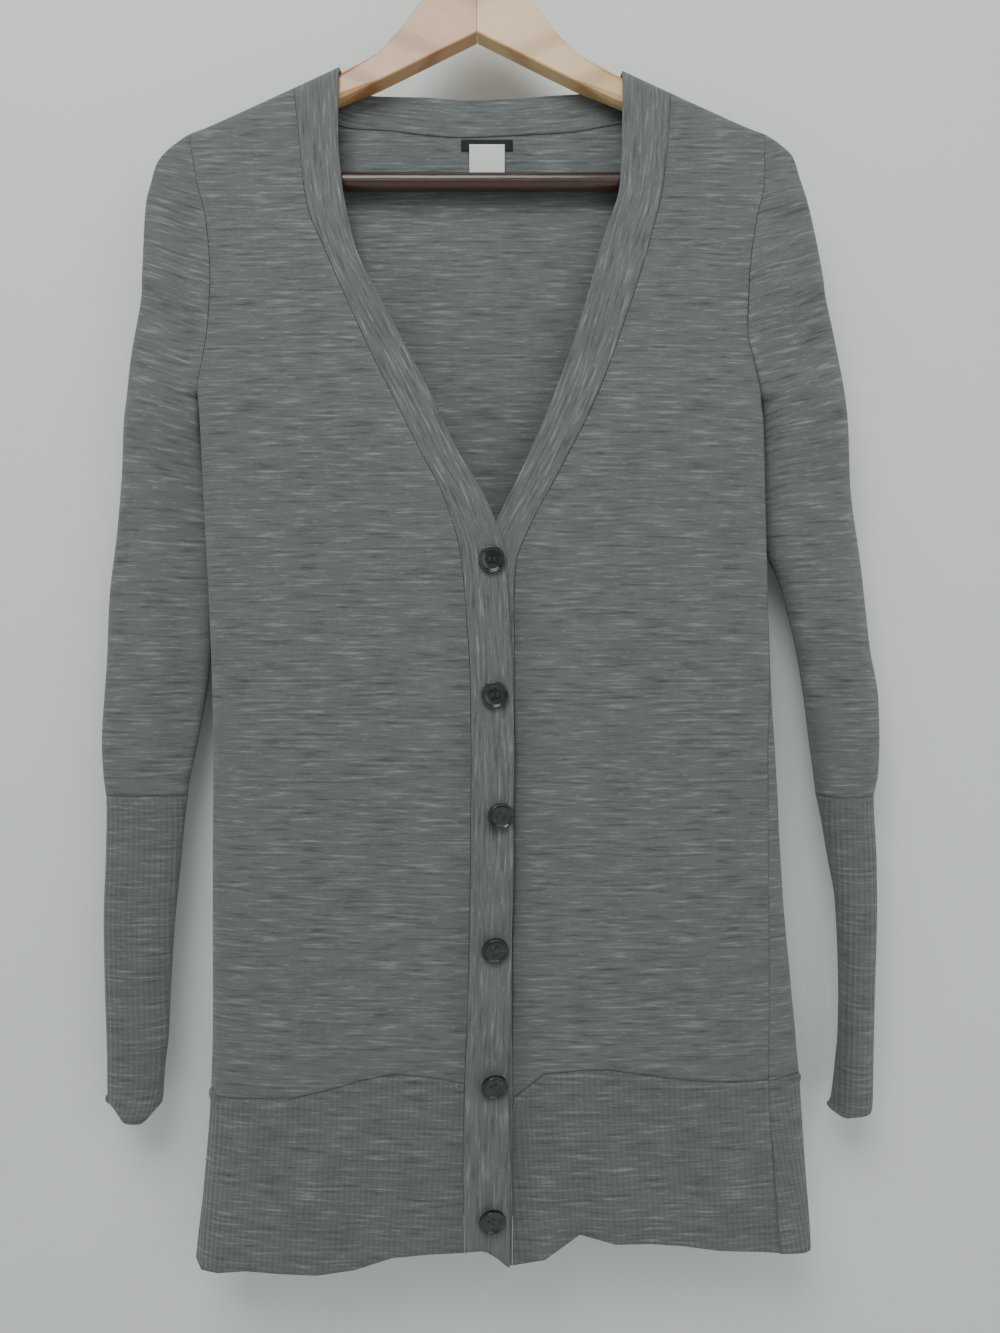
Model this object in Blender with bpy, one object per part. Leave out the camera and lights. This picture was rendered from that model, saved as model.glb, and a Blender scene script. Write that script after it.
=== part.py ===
"""A V-neck button cardigan in fine knit, hanging buttoned on a flat wooden hanger.

Metres, +Z up, the front faces -Y, and the wearer's left is +X.
The origin is the inside of the hook's bend, where a rod carries the hanger.
Right and left are the wearer's. The right front laps over the left front.
The knitted pieces are walls cut from one skin, so they meet along shared seam lines.
"""

import math

import bmesh
import bpy
import numpy as np
from mathutils import Matrix, Vector

# ---- driving sizes ---------------------------------------------------------------------------
KNIT = 0.0014  # thickness of the body, the sleeves and the hem
BAND_KNIT = 0.0022  # thickness of the doubled front bands and the neckband
BAG_KNIT = 0.0012  # thickness of a pocket bag
SEAM_GAP = 0.0003  # space between two pieces at a seam
LAP = 0.00285  # how far the right front stands before the left front, under its own band
BODY_ROUNDNESS = 3.0  # exponent of the flattened ring that the body hangs in
SLEEVE_ROUNDNESS = 2.4  # the same for the sleeves and cuffs
CAP_ROUNDNESS = 4.0  # the same where the sleeve's cap rounds the end of the hanger
SHOULDER_ROUND = 0.012  # how far below the shoulder line the cloth has turned down
UNDERARM_Z = {-1: -0.3367, 1: -0.3400}

ARM_HALF = 0.0065  # half the thickness of the wooden hanger
BAR_RADIUS = 0.0059
BAR_Z = -0.1983
BAR_HALF_LENGTH = 0.1890
WIRE_RADIUS = 0.0020
HOOK_INSIDE_RADIUS = 0.0200
HOOK_FOOT_Z = -0.0860

BUTTON_RADIUS = 0.0085
BUTTON_THICK = 0.0030
SHANK_RADIUS = 0.0006
BUTTON_HOLE_RADIUS = 0.0009
BUTTON_HOLE_PITCH = 0.0023  # from the button's middle to the middle of each hole
BUTTONHOLE = (0.0016, 0.0160)  # width and length of the slit

RIGHT, LEFT = -1, 1
FRONT, BACK = -1, 1


# ---- tables with named columns ---------------------------------------------------------------
class Table:
    """Rows of named columns, read between the rows by a smooth curve that never overshoots."""

    def __init__(self, columns, rows):
        rows = np.array(rows, dtype=float)
        self.length = len(rows)
        self.columns = {name: rows[:, i] for i, name in enumerate(columns.split())}
        self.key = self.columns[columns.split()[0]]
        if self.key[0] > self.key[-1]:
            self.key = self.key[::-1]
            self.columns = {name: values[::-1] for name, values in self.columns.items()}

    def at(self, name, where):
        x, y = self.key, self.columns[name]
        step = np.diff(x)
        slope = np.diff(y) / step
        tangent = np.zeros(len(x))
        before, after = slope[:-1], slope[1:]
        same_way = before * after > 0
        weight_a = 2 * step[1:] + step[:-1]
        weight_b = step[1:] + 2 * step[:-1]
        safe_before = np.where(same_way, before, 1)
        safe_after = np.where(same_way, after, 1)
        mean = (weight_a + weight_b) / (weight_a / safe_before + weight_b / safe_after)
        tangent[1:-1] = np.where(same_way, mean, 0)
        tangent[0], tangent[-1] = slope[0], slope[-1]
        where = np.clip(np.asarray(where, dtype=float), x[0], x[-1])
        i = np.clip(np.searchsorted(x, where, side="right") - 1, 0, len(step) - 1)
        t = (where - x[i]) / step[i]
        return (
            (1 + 2 * t) * (1 - t) ** 2 * y[i]
            + t * (1 - t) ** 2 * step[i] * tangent[i]
            + t * t * (3 - 2 * t) * y[i + 1]
            + t * t * (t - 1) * step[i] * tangent[i + 1]
        )


# Rings of the body by height. Edges are where the ring turns from front to back, beyond the
# armhole above the underarms. Seams are the armhole and then the side seam, and the left side
# seam lies on the front. All four are distances from the middle.
TORSO = Table(
    "z right_edge right_seam left_seam left_edge front_depth back_depth",
    [
        (-0.120, 0.3000, 0.1850, 0.1850, 0.3000, 0.0110, 0.0110),
        (-0.169, 0.2900, 0.1840, 0.1845, 0.2900, 0.0110, 0.0110),
        (-0.202, 0.2600, 0.1795, 0.1845, 0.2700, 0.0110, 0.0110),
        (-0.226, 0.2300, 0.1738, 0.1796, 0.2400, 0.0112, 0.0110),
        (-0.262, 0.2060, 0.1712, 0.1752, 0.2100, 0.0116, 0.0110),
        (-0.297, 0.1890, 0.1735, 0.1742, 0.1900, 0.0122, 0.0114),
        (-0.319, 0.1825, 0.1779, 0.1795, 0.1845, 0.0127, 0.0118),
        (-0.3367, 0.1814, 0.1814, 0.1840, 0.1846, 0.0131, 0.0120),
        (-0.340, 0.1811, 0.1811, 0.1846, 0.1846, 0.0132, 0.0121),
        (-0.353, 0.1801, 0.1801, 0.1859, 0.1859, 0.0135, 0.0123),
        (-0.418, 0.1768, 0.1768, 0.1874, 0.1875, 0.0150, 0.0132),
        (-0.496, 0.1729, 0.1729, 0.1892, 0.1896, 0.0166, 0.0142),
        (-0.535, 0.1716, 0.1716, 0.1888, 0.1911, 0.0174, 0.0148),
        (-0.574, 0.1710, 0.1710, 0.1870, 0.1936, 0.0182, 0.0153),
        (-0.652, 0.1714, 0.1714, 0.1870, 0.1976, 0.0195, 0.0163),
        (-0.736, 0.1711, 0.1711, 0.1866, 0.2048, 0.0208, 0.0174),
        (-0.780, 0.1722, 0.1722, 0.1858, 0.2084, 0.0214, 0.0180),
        (-0.834, 0.1762, 0.1762, 0.1892, 0.2124, 0.0222, 0.0186),
        (-0.889, 0.1820, 0.1820, 0.1930, 0.2164, 0.0230, 0.0190),
        (-0.905, 0.1828, 0.1828, 0.1936, 0.2166, 0.0230, 0.0190),
    ],
)

# The shoulder line by distance from the middle.
SHOULDER = Table(
    "x z",
    [
        (0.000, -0.0840),
        (0.088, -0.1261),
        (0.117, -0.1396),
        (0.154, -0.1564),
        (0.176, -0.1660),
        (0.185, -0.1692),
    ],
)

# The rows of knitting that each panel is built on, from the shoulder to the hem seam: the
# height at the armhole or side seam, and at the seam of each front band.
LEVELS = Table(
    "row side_z right_z left_z",
    [
        (0, -0.1690, -0.1396, -0.1429),
        (1, -0.1710, -0.1418, -0.1451),
        (2, -0.1765, -0.1475, -0.1508),
        (3, -0.1870, -0.1620, -0.1650),
        (4, -0.2020, -0.1870, -0.1880),
        (5, -0.2200, -0.2150, -0.2150),
        (6, -0.2400, -0.2440, -0.2440),
        (7, -0.2640, -0.2760, -0.2760),
        (8, -0.2880, -0.3070, -0.3070),
        (9, -0.3100, -0.3370, -0.3370),
        (10, -0.3250, -0.3560, -0.3560),
        (11, -0.3367, -0.3720, -0.3720),
        (12, -0.3560, -0.3930, -0.3930),
        (13, -0.3850, -0.4190, -0.4190),
        (14, -0.4200, -0.4480, -0.4480),
        (15, -0.4600, -0.4800, -0.4800),
        (16, -0.5040, -0.5140, -0.5140),
        (17, -0.5440, -0.5480, -0.5480),
        (18, -0.5850, -0.5850, -0.5850),
        (19, -0.6330, -0.6330, -0.6330),
        (20, -0.6820, -0.6820, -0.6820),
        (21, -0.7320, -0.7320, -0.7320),
        (22, -0.7800, -0.7800, -0.7800),
    ],
)
UNDERARM_ROW = 11
HEM_Z = -0.7800
HEM_ROWS = (-0.7800, -0.8150, -0.8500, -0.8850)

# The front bands by height: where the seam and the free edge run.
RIGHT_BAND = Table(
    "z seam free",
    [
        (-0.1261, -0.1172, -0.0884),
        (-0.1396, -0.1170, -0.0885),
        (-0.1698, -0.1140, -0.0887),
        (-0.2018, -0.1111, -0.0864),
        (-0.2178, -0.1086, -0.0838),
        (-0.2466, -0.0970, -0.0766),
        (-0.2790, -0.0828, -0.0605),
        (-0.3113, -0.0680, -0.0437),
        (-0.3434, -0.0519, -0.0271),
        (-0.3757, -0.0358, -0.0117),
        (-0.4080, -0.0198, 0.0067),
        (-0.4440, -0.0097, 0.0187),
        (-0.4712, -0.0071, 0.0200),
        (-0.5217, -0.0039, 0.0231),
        (-0.5720, -0.0033, 0.0238),
        (-0.7220, -0.0051, 0.0218),
        (-0.7721, -0.0070, 0.0200),
        (-0.8341, -0.0082, 0.0212),
        (-0.8900, -0.0069, 0.0212),
    ],
)
LEFT_BAND = Table(
    "z seam free",
    [
        (-0.1287, 0.1243, 0.0936),
        (-0.1429, 0.1242, 0.0935),
        (-0.2018, 0.1199, 0.0918),
        (-0.2402, 0.1110, 0.0805),
        (-0.2918, 0.0948, 0.0661),
        (-0.3434, 0.0755, 0.0478),
        (-0.3884, 0.0530, 0.0283),
        (-0.4267, 0.0327, 0.0100),
        (-0.4488, 0.0250, 0.0025),
        (-0.4712, 0.0240, -0.0005),
        (-0.5217, 0.0240, -0.0015),
        (-0.7220, 0.0226, -0.0020),
        (-0.7800, 0.0232, -0.0024),
        (-0.8900, 0.0226, -0.0024),
    ],
)
BANDS = {RIGHT: RIGHT_BAND, LEFT: LEFT_BAND}
BAND_ACROSS = (0.0, 0.33, 0.67, 1.0)
BAND_LEVEL_Z = -0.215  # above this the band's rows slant up to the shoulder line

# The neckband round the back neck: its seam on the back and its free edge.
NECKBAND = Table(
    "seam_x seam_z free_x free_z",
    [
        (-0.1170, -0.1396, -0.0884, -0.1262),
        (-0.1150, -0.1409, -0.0880, -0.1284),
        (-0.1110, -0.1442, -0.0866, -0.1308),
        (-0.1044, -0.1494, -0.0832, -0.1330),
        (-0.0834, -0.1585, -0.0687, -0.1372),
        (-0.0583, -0.1600, -0.0500, -0.1378),
        (-0.0392, -0.1624, -0.0340, -0.1381),
        (-0.0108, -0.1644, -0.0080, -0.1399),
        (0.0235, -0.1631, 0.0200, -0.1392),
        (0.0605, -0.1611, 0.0500, -0.1369),
        (0.0850, -0.1570, 0.0700, -0.1357),
        (0.1068, -0.1530, 0.0880, -0.1336),
        (0.1180, -0.1472, 0.0918, -0.1323),
        (0.1222, -0.1442, 0.0932, -0.1306),
        (0.1242, -0.1429, 0.0936, -0.1287),
    ],
)

# The hem seam and the bottom edge of the fronts, and of the back from its right to its left
# side seam, which dip and rise because the knit has relaxed unevenly.
HEM_SEAM = Table(
    "x z",
    [
        (-0.172, -0.7840),
        (-0.167, -0.7890),
        (-0.146, -0.7876),
        (-0.113, -0.7863),
        (-0.083, -0.7769),
        (-0.043, -0.7693),
        (-0.017, -0.7731),
        (-0.007, -0.7748),
        (0.023, -0.7850),
        (0.032, -0.7813),
        (0.043, -0.7699),
        (0.079, -0.7674),
        (0.121, -0.7731),
        (0.145, -0.7756),
        (0.186, -0.7765),
        (0.208, -0.7742),
    ],
)
HEM_EDGE = Table(
    "x z",
    [
        (-0.182, -0.8930),
        (-0.176, -0.8990),
        (-0.141, -0.8953),
        (-0.119, -0.8966),
        (-0.078, -0.8935),
        (-0.067, -0.8916),
        (-0.045, -0.8815),
        (-0.008, -0.8796),
        (0.004, -0.8785),
        (0.012, -0.8823),
        (0.022, -0.8890),
        (0.040, -0.8865),
        (0.053, -0.8734),
        (0.060, -0.8690),
        (0.073, -0.8740),
        (0.127, -0.8778),
        (0.170, -0.8832),
        (0.193, -0.8862),
        (0.217, -0.8892),
    ],
)
BACK_HEM = Table(
    "part seam_z edge_z",
    [
        (0.00, -0.7840, -0.8930),
        (0.15, -0.7810, -0.8850),
        (0.40, -0.7840, -0.8800),
        (0.70, -0.7790, -0.8830),
        (0.94, -0.7742, -0.8892),
        (1.00, -0.7765, -0.8862),
    ],
)

# The sleeves: the silhouette's distance from the middle, the inner edge below the underarm,
# the depth at which they hang behind the body and half their depth.
SLEEVE = {
    RIGHT: Table(
        "z outer inner centre_y half_depth",
        [
            (-0.1690, 0.1846, 0.1846, 0.0000, 0.0000),
            (-0.1736, 0.1918, 0.1830, 0.0000, 0.0000),
            (-0.1807, 0.2015, 0.1820, 0.0000, 0.0000),
            (-0.1879, 0.2074, 0.1820, 0.0000, 0.0000),
            (-0.2002, 0.2113, 0.1800, 0.0000, 0.0000),
            (-0.2132, 0.2145, 0.1780, 0.0000, 0.0005),
            (-0.2685, 0.2178, 0.1780, 0.0002, 0.0030),
            (-0.3127, 0.2257, 0.1790, 0.0020, 0.0055),
            (-0.3367, 0.2288, 0.1817, 0.0040, 0.0088),
            (-0.3515, 0.2311, 0.1820, 0.0056, 0.0100),
            (-0.3897, 0.2352, 0.1790, 0.0120, 0.0105),
            (-0.4292, 0.2399, 0.1760, 0.0150, 0.0105),
            (-0.4690, 0.2447, 0.1756, 0.0155, 0.0105),
            (-0.5089, 0.2463, 0.1776, 0.0155, 0.0105),
            (-0.5354, 0.2480, 0.1809, 0.0150, 0.0105),
            (-0.5620, 0.2493, 0.1856, 0.0145, 0.0105),
            (-0.5852, 0.2480, 0.1905, 0.0140, 0.0100),
            (-0.5985, 0.2462, 0.1927, 0.0140, 0.0092),
        ],
    ),
    LEFT: Table(
        "z outer inner centre_y half_depth",
        [
            (-0.1690, 0.1850, 0.1850, 0.0000, 0.0000),
            (-0.1762, 0.1963, 0.1830, 0.0000, 0.0000),
            (-0.1840, 0.2048, 0.1820, 0.0000, 0.0000),
            (-0.1957, 0.2087, 0.1820, 0.0000, 0.0000),
            (-0.2132, 0.2145, 0.1800, 0.0000, 0.0005),
            (-0.2392, 0.2203, 0.1800, 0.0000, 0.0020),
            (-0.2710, 0.2262, 0.1800, 0.0004, 0.0045),
            (-0.2997, 0.2327, 0.1800, 0.0014, 0.0055),
            (-0.3318, 0.2393, 0.1845, 0.0040, 0.0095),
            (-0.3400, 0.2408, 0.1852, 0.0052, 0.0110),
            (-0.3510, 0.2426, 0.1876, 0.0070, 0.0125),
            (-0.4030, 0.2480, 0.1875, 0.0155, 0.0140),
            (-0.4392, 0.2535, 0.1929, 0.0165, 0.0145),
            (-0.4524, 0.2550, 0.1990, 0.0160, 0.0145),
            (-0.4757, 0.2572, 0.2062, 0.0155, 0.0150),
            (-0.5022, 0.2600, 0.2122, 0.0150, 0.0155),
            (-0.5354, 0.2653, 0.2175, 0.0145, 0.0160),
            (-0.5620, 0.2659, 0.2208, 0.0145, 0.0160),
            (-0.5819, 0.2653, 0.2235, 0.0145, 0.0155),
            (-0.5985, 0.2622, 0.2254, 0.0145, 0.0140),
        ],
    ),
}
SLEEVE_ROWS_BELOW = (-0.3560, -0.3850, -0.4200, -0.4600, -0.5040, -0.5440, -0.5800, -0.5985)
CUFF = {
    RIGHT: Table(
        "z outer inner centre_y half_depth",
        [
            (-0.5985, 0.2462, 0.1927, 0.0140, 0.0092),
            (-0.6100, 0.2460, 0.1940, 0.0140, 0.0085),
            (-0.6417, 0.2467, 0.1969, 0.0140, 0.0080),
            (-0.6815, 0.2480, 0.2009, 0.0140, 0.0078),
            (-0.7214, 0.2473, 0.2035, 0.0140, 0.0078),
            (-0.7612, 0.2460, 0.2055, 0.0140, 0.0078),
            (-0.7811, 0.2455, 0.2082, 0.0140, 0.0082),
            (-0.8020, 0.2453, 0.2101, 0.0140, 0.0086),
        ],
    ),
    LEFT: Table(
        "z outer inner centre_y half_depth",
        [
            (-0.5985, 0.2622, 0.2254, 0.0145, 0.0140),
            (-0.6100, 0.2626, 0.2280, 0.0145, 0.0132),
            (-0.6417, 0.2643, 0.2334, 0.0145, 0.0124),
            (-0.6682, 0.2646, 0.2381, 0.0145, 0.0122),
            (-0.7346, 0.2628, 0.2407, 0.0145, 0.0124),
            (-0.7612, 0.2622, 0.2400, 0.0145, 0.0126),
            (-0.7878, 0.2616, 0.2361, 0.0145, 0.0126),
            (-0.8020, 0.2604, 0.2327, 0.0145, 0.0126),
        ],
    ),
}
CUFF_ROWS = (-0.5985, -0.6150, -0.6500, -0.6900, -0.7300, -0.7700, -0.8020)
# The uneven bottom edge of each cuff, from its outer to its inner side.
CUFF_EDGE = {
    RIGHT: Table(
        "part z",
        [(0.0, -0.7984), (0.2, -0.8050), (0.42, -0.8135), (0.65, -0.8140), (1.0, -0.8030)],
    ),
    LEFT: Table("part z", [(0.0, -0.8070), (0.4, -0.8075), (0.7, -0.8080), (1.0, -0.8040)]),
}

# The largest folds: a crease that runs down from (top_x, top_z) to (low_x, low_z), how wide it
# is and how far it sinks into the front of the sleeve, or stands up where that is negative.
SLEEVE_FOLDS = {
    RIGHT: (
        dict(top=(0.1900, -0.212), low=(0.1860, -0.352), width=0.0100, sink=0.0040),
        dict(top=(0.1860, -0.352), low=(0.1950, -0.590), width=0.0110, sink=0.0035),
        dict(top=(0.2165, -0.300), low=(0.2150, -0.590), width=0.0110, sink=-0.0020),
    ),
    LEFT: (
        dict(top=(0.1990, -0.212), low=(0.2140, -0.330), width=0.0100, sink=0.0040),
        dict(top=(0.2140, -0.330), low=(0.2250, -0.540), width=0.0110, sink=0.0030),
        dict(top=(0.2360, -0.300), low=(0.2560, -0.590), width=0.0090, sink=-0.0020),
    ),
}

# Pocket bags on the inside of the fronts: where the bag's inner outline runs, by height.
BAG = {
    RIGHT: Table(
        "z inner",
        [
            (-0.5560, 0.1350),
            (-0.5650, 0.1159),
            (-0.5916, 0.0877),
            (-0.6257, 0.0663),
            (-0.6540, 0.0606),
            (-0.7680, 0.0618),
        ],
    ),
    LEFT: Table(
        "z inner",
        [
            (-0.5560, 0.1450),
            (-0.5640, 0.1300),
            (-0.5923, 0.1038),
            (-0.6156, 0.0880),
            (-0.6400, 0.0822),
            (-0.7640, 0.0816),
        ],
    ),
}
BAG_OUTER = {RIGHT: 0.1570, LEFT: 0.1740}
BAG_ROWS = (-0.5560, -0.5640, -0.5800, -0.5980, -0.6200, -0.6500, -0.7050, -0.7640)
BAG_ACROSS = 6

# Buttons from top to bottom: place on the right band, how far the disc droops and which way
# the droop is turned, both in degrees.
BUTTONS = (
    dict(x=0.0099, z=-0.4457, droop=4, turn=0, slit=45),
    dict(x=0.0118, z=-0.5310, droop=4, turn=0, slit=0),
    dict(x=0.0150, z=-0.6066, droop=20, turn=60, slit=0),
    dict(x=0.0118, z=-0.6898, droop=20, turn=25, slit=0),
    dict(x=0.0112, z=-0.7741, droop=24, turn=30, slit=0),
    dict(x=0.0100, z=-0.8575, droop=20, turn=30, slit=0),
)

# One half of the hanger by distance from the middle joint.
HANGER_HALF = Table(
    "x top_z low_z half_thick corner",
    [
        (0.00015, -0.0644, -0.1049, ARM_HALF, 0.0012),
        (0.0100, -0.0648, -0.1099, ARM_HALF, 0.0012),
        (0.0172, -0.0663, -0.1134, ARM_HALF, 0.0012),
        (0.0262, -0.0727, -0.1179, ARM_HALF, 0.0012),
        (0.0365, -0.0856, -0.1230, ARM_HALF, 0.0012),
        (0.0490, -0.1025, -0.1292, ARM_HALF, 0.0012),
        (0.0645, -0.1183, -0.1368, ARM_HALF, 0.0012),
        (0.0884, -0.1298, -0.1482, ARM_HALF, 0.0045),
        (0.1170, -0.1426, -0.1600, ARM_HALF, 0.0050),
        (0.1540, -0.1594, -0.1765, ARM_HALF, 0.0050),
        (0.1690, -0.1660, -0.1860, ARM_HALF, 0.0050),
        (0.1780, -0.1699, -0.2060, ARM_HALF, 0.0050),
        (0.1850, -0.1728, -0.2084, ARM_HALF, 0.0050),
        (0.1920, -0.1775, -0.2080, 0.0058, 0.0048),
        (0.1970, -0.1815, -0.2060, 0.0044, 0.0040),
        (0.1995, -0.1850, -0.2030, 0.0028, 0.0026),
    ],
)


# ---- the skin that the knitted pieces are cut from -------------------------------------------
def bulge(part, exponent):
    """How deep a flattened ring still is, from 1 at its middle to 0 at its edge."""
    return (1 - np.clip(part, 0, 1) ** exponent) ** (1 / exponent)


def smooth_step(low, high, value):
    t = np.clip((value - low) / (high - low), 0, 1)
    return t * t * (3 - 2 * t)


def half_width(side, z):
    return TORSO.at("right_edge" if side == RIGHT else "left_edge", z)


def side_seam(side, z):
    return TORSO.at("right_seam" if side == RIGHT else "left_seam", z)


def shoulder_turn(x, z):
    """The cloth turns over the hanger at the shoulder line, and hangs straight below it."""
    shoulder_z = SHOULDER.at("z", abs(x))
    return bulge(1 - (shoulder_z - z) / SHOULDER_ROUND, BODY_ROUNDNESS)


def lap(x, z):
    """The right front stands before the left one where its band lies on the other band."""
    return LAP * smooth_step(0.360, 0.402, -z) * smooth_step(-0.048, -0.020, x)


def body_y(side, face, x, z):
    """The depth of the body's outside at a place, side and face being signs."""
    x, z = np.asarray(x, dtype=float), np.asarray(z, dtype=float)
    width = np.where(x < 0, half_width(RIGHT, z), half_width(LEFT, z))
    depth = TORSO.at("front_depth" if face == FRONT else "back_depth", z)
    y = face * depth * bulge(abs(x) / width, BODY_ROUNDNESS) * shoulder_turn(x, z)
    if side == RIGHT and face == FRONT:
        y = y - lap(x, z)
    return y


def body_point(side, face, x, z):
    return np.array([x, body_y(side, face, x, z), z])


def ring_sweep(side, face, z_from, z_to, x_from, x_to, count=60):
    """A run along the body's ring between two distances from the middle, as places."""
    exponent = BODY_ROUNDNESS
    angle_from = math.asin(min(1, x_from / half_width(side, z_from)) ** (exponent / 2))
    angle_to = math.asin(min(1, x_to / half_width(side, z_to)) ** (exponent / 2))
    angle = np.linspace(angle_from, angle_to, count)
    z = np.linspace(z_from, z_to, count)
    for _ in range(4):
        x = half_width(side, z) * np.sin(angle) ** (2 / exponent)
        x[0], x[-1] = x_from, x_to
        if x_from != x_to:
            z = z_from + (z_to - z_from) * (x - x_from) / (x_to - x_from)
    depth = TORSO.at("front_depth" if face == FRONT else "back_depth", z)
    y = face * depth * np.clip(np.cos(angle), 0, 1) ** (2 / exponent) * shoulder_turn(x, z)
    if side == RIGHT and face == FRONT:
        y = y - lap(-x, z)
    return np.stack([side * x, y, z], axis=1)


def spaced(run, parts):
    """Points at these parts of a run's length, its ends kept exactly."""
    length = np.linalg.norm(np.diff(run, axis=0), axis=1)
    along = np.concatenate([[0], np.cumsum(length)])
    if along[-1] < 1e-9:
        return np.repeat(run[:1], len(parts), axis=0)
    where = np.array(parts) * along[-1]
    points = np.stack([np.interp(where, along, run[:, k]) for k in range(3)], axis=1)
    points[0], points[-1] = run[0], run[-1]
    return points


FRONT_PARTS = (0, 0.12, 0.25, 0.38, 0.51, 0.64, 0.76, 0.86, 0.93, 0.97, 0.99, 1)


def front_row(side, side_z, inner_z):
    seam_x = float(BANDS[side].at("seam", inner_z))
    run = ring_sweep(side, FRONT, inner_z, side_z, abs(seam_x), float(side_seam(side, side_z)))
    run[0] = body_point(side, FRONT, seam_x, inner_z)
    return spaced(run, FRONT_PARTS)


def front_panel(side):
    """A front from the shoulder to the hem seam, a row of points for each level."""
    inner_name = "right_z" if side == RIGHT else "left_z"
    rows = []
    for i in range(LEVELS.length):
        side_z = level_side_z(side, i)
        row = front_row(side, side_z, float(LEVELS.at(inner_name, i)))
        row[:, 2] += hem_drop(i) * (HEM_SEAM.at("z", row[:, 0]) - HEM_Z)
        if i == 0:
            row[:, 1] = 0
            row[:, 2] = SHOULDER.at("z", abs(row[:, 0]))
        rows.append(row)
    return np.array(rows)


def level_side_z(side, i):
    """The height of a level at the side, which is the underarm itself on its own row."""
    return UNDERARM_Z[side] if i == UNDERARM_ROW else float(LEVELS.at("side_z", i))


def hem_drop(i):
    """How far a level follows the unevenness of the hem seam."""
    return {LEVELS.length - 1: 1.0, LEVELS.length - 2: 0.35}.get(i, 0.0)


# How far each of the back's top rows follows the shoulder line and the neck seam.
BACK_RISE = (1, 1, 1, 0.85, 0.66, 0.47, 0.30, 0.14)
BACK_SHOULDER = (0, 0.008, 0.025, 0.055, 0.10, 0.14)
BACK_SHOULDER_END = (0.88, 0.92, 0.955, 0.98, 0.993, 1)


def back_parts():
    """The back's columns: the neckband's own stations, with more towards the sides."""
    span = LEVELS_TIP[LEFT] + LEVELS_TIP[RIGHT]
    neck = (NECKBAND.columns["seam_x"] + LEVELS_TIP[RIGHT]) / span
    return np.array([*BACK_SHOULDER, *neck, *BACK_SHOULDER_END])


LEVELS_TIP = {side: float(side_seam(side, -0.1690)) for side in (RIGHT, LEFT)}


def back_top_z(x):
    """The top edge of the back: the shoulder line, and between them the neckband's seam."""
    inside = (x > NECKBAND.key[0]) & (x < NECKBAND.key[-1])
    return np.where(inside, NECKBAND.at("seam_z", x), SHOULDER.at("z", abs(x)))


def back_run(right_z, left_z, wraps):
    """The back's ring from the right seam round to the left one, on the front where it wraps."""
    middle_z = 0.5 * (right_z + left_z)
    right_x = float(side_seam(RIGHT, right_z))
    left_x = float(side_seam(LEFT, left_z))
    if not wraps:
        first = ring_sweep(RIGHT, BACK, right_z, middle_z, right_x, 0)
        second = ring_sweep(LEFT, BACK, middle_z, left_z, 0, left_x)
        return np.concatenate([first, second[1:]])
    right_edge = float(half_width(RIGHT, right_z))
    left_edge = float(half_width(LEFT, left_z))
    first = ring_sweep(RIGHT, BACK, right_z, middle_z, right_edge, 0)
    second = ring_sweep(LEFT, BACK, middle_z, left_z, 0, left_edge)
    third = ring_sweep(LEFT, FRONT, left_z, left_z, left_edge, left_x)
    return np.concatenate([first, second[1:], third[1:]])


def back_panel():
    parts = back_parts()
    rows = []
    for i in range(LEVELS.length):
        right_z, left_z = level_side_z(RIGHT, i), level_side_z(LEFT, i)
        run = back_run(right_z, left_z, i > UNDERARM_ROW)
        row = spaced(run, parts)
        rise = BACK_RISE[i] if i < len(BACK_RISE) else 0
        top = parts * (LEVELS_TIP[LEFT] + LEVELS_TIP[RIGHT]) - LEVELS_TIP[RIGHT]
        if i == 0:
            row = np.stack([top, body_y(LEFT, BACK, top, back_top_z(top)), back_top_z(top)], axis=1)
            row[: len(BACK_SHOULDER), 1] = 0
            row[-len(BACK_SHOULDER_END) :, 1] = 0
        elif rise:
            shoulder_tip_z = float(SHOULDER.at("z", LEVELS_TIP[LEFT]))
            row[1:-1, 2] += rise * (back_top_z(row[1:-1, 0]) - shoulder_tip_z)
            row[1:-1, 1] = body_y(LEFT, BACK, row[1:-1, 0], row[1:-1, 2])
        row[:, 2] += hem_drop(i) * (BACK_HEM.at("seam_z", parts) - HEM_Z)
        rows.append(row)
    return np.array(rows)


def hem_front(side):
    """A front's hem band, from the hem seam to the uneven bottom edge."""
    rows = []
    for z in HEM_ROWS:
        down = (HEM_Z - z) / (HEM_Z - HEM_ROWS[-1])
        row = front_row(side, z, z)
        seam_z = HEM_SEAM.at("z", row[:, 0])
        edge_z = HEM_EDGE.at("z", row[:, 0])
        row[:, 2] = seam_z + down * (edge_z - seam_z)
        rows.append(row)
    return np.array(rows)


def hem_back():
    parts = back_parts()
    rows = []
    for z in HEM_ROWS:
        down = (HEM_Z - z) / (HEM_Z - HEM_ROWS[-1])
        row = spaced(back_run(z, z, True), parts)
        seam_z, edge_z = BACK_HEM.at("seam_z", parts), BACK_HEM.at("edge_z", parts)
        row[:, 2] = seam_z + down * (edge_z - seam_z)
        rows.append(row)
    return np.array(rows)


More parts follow.
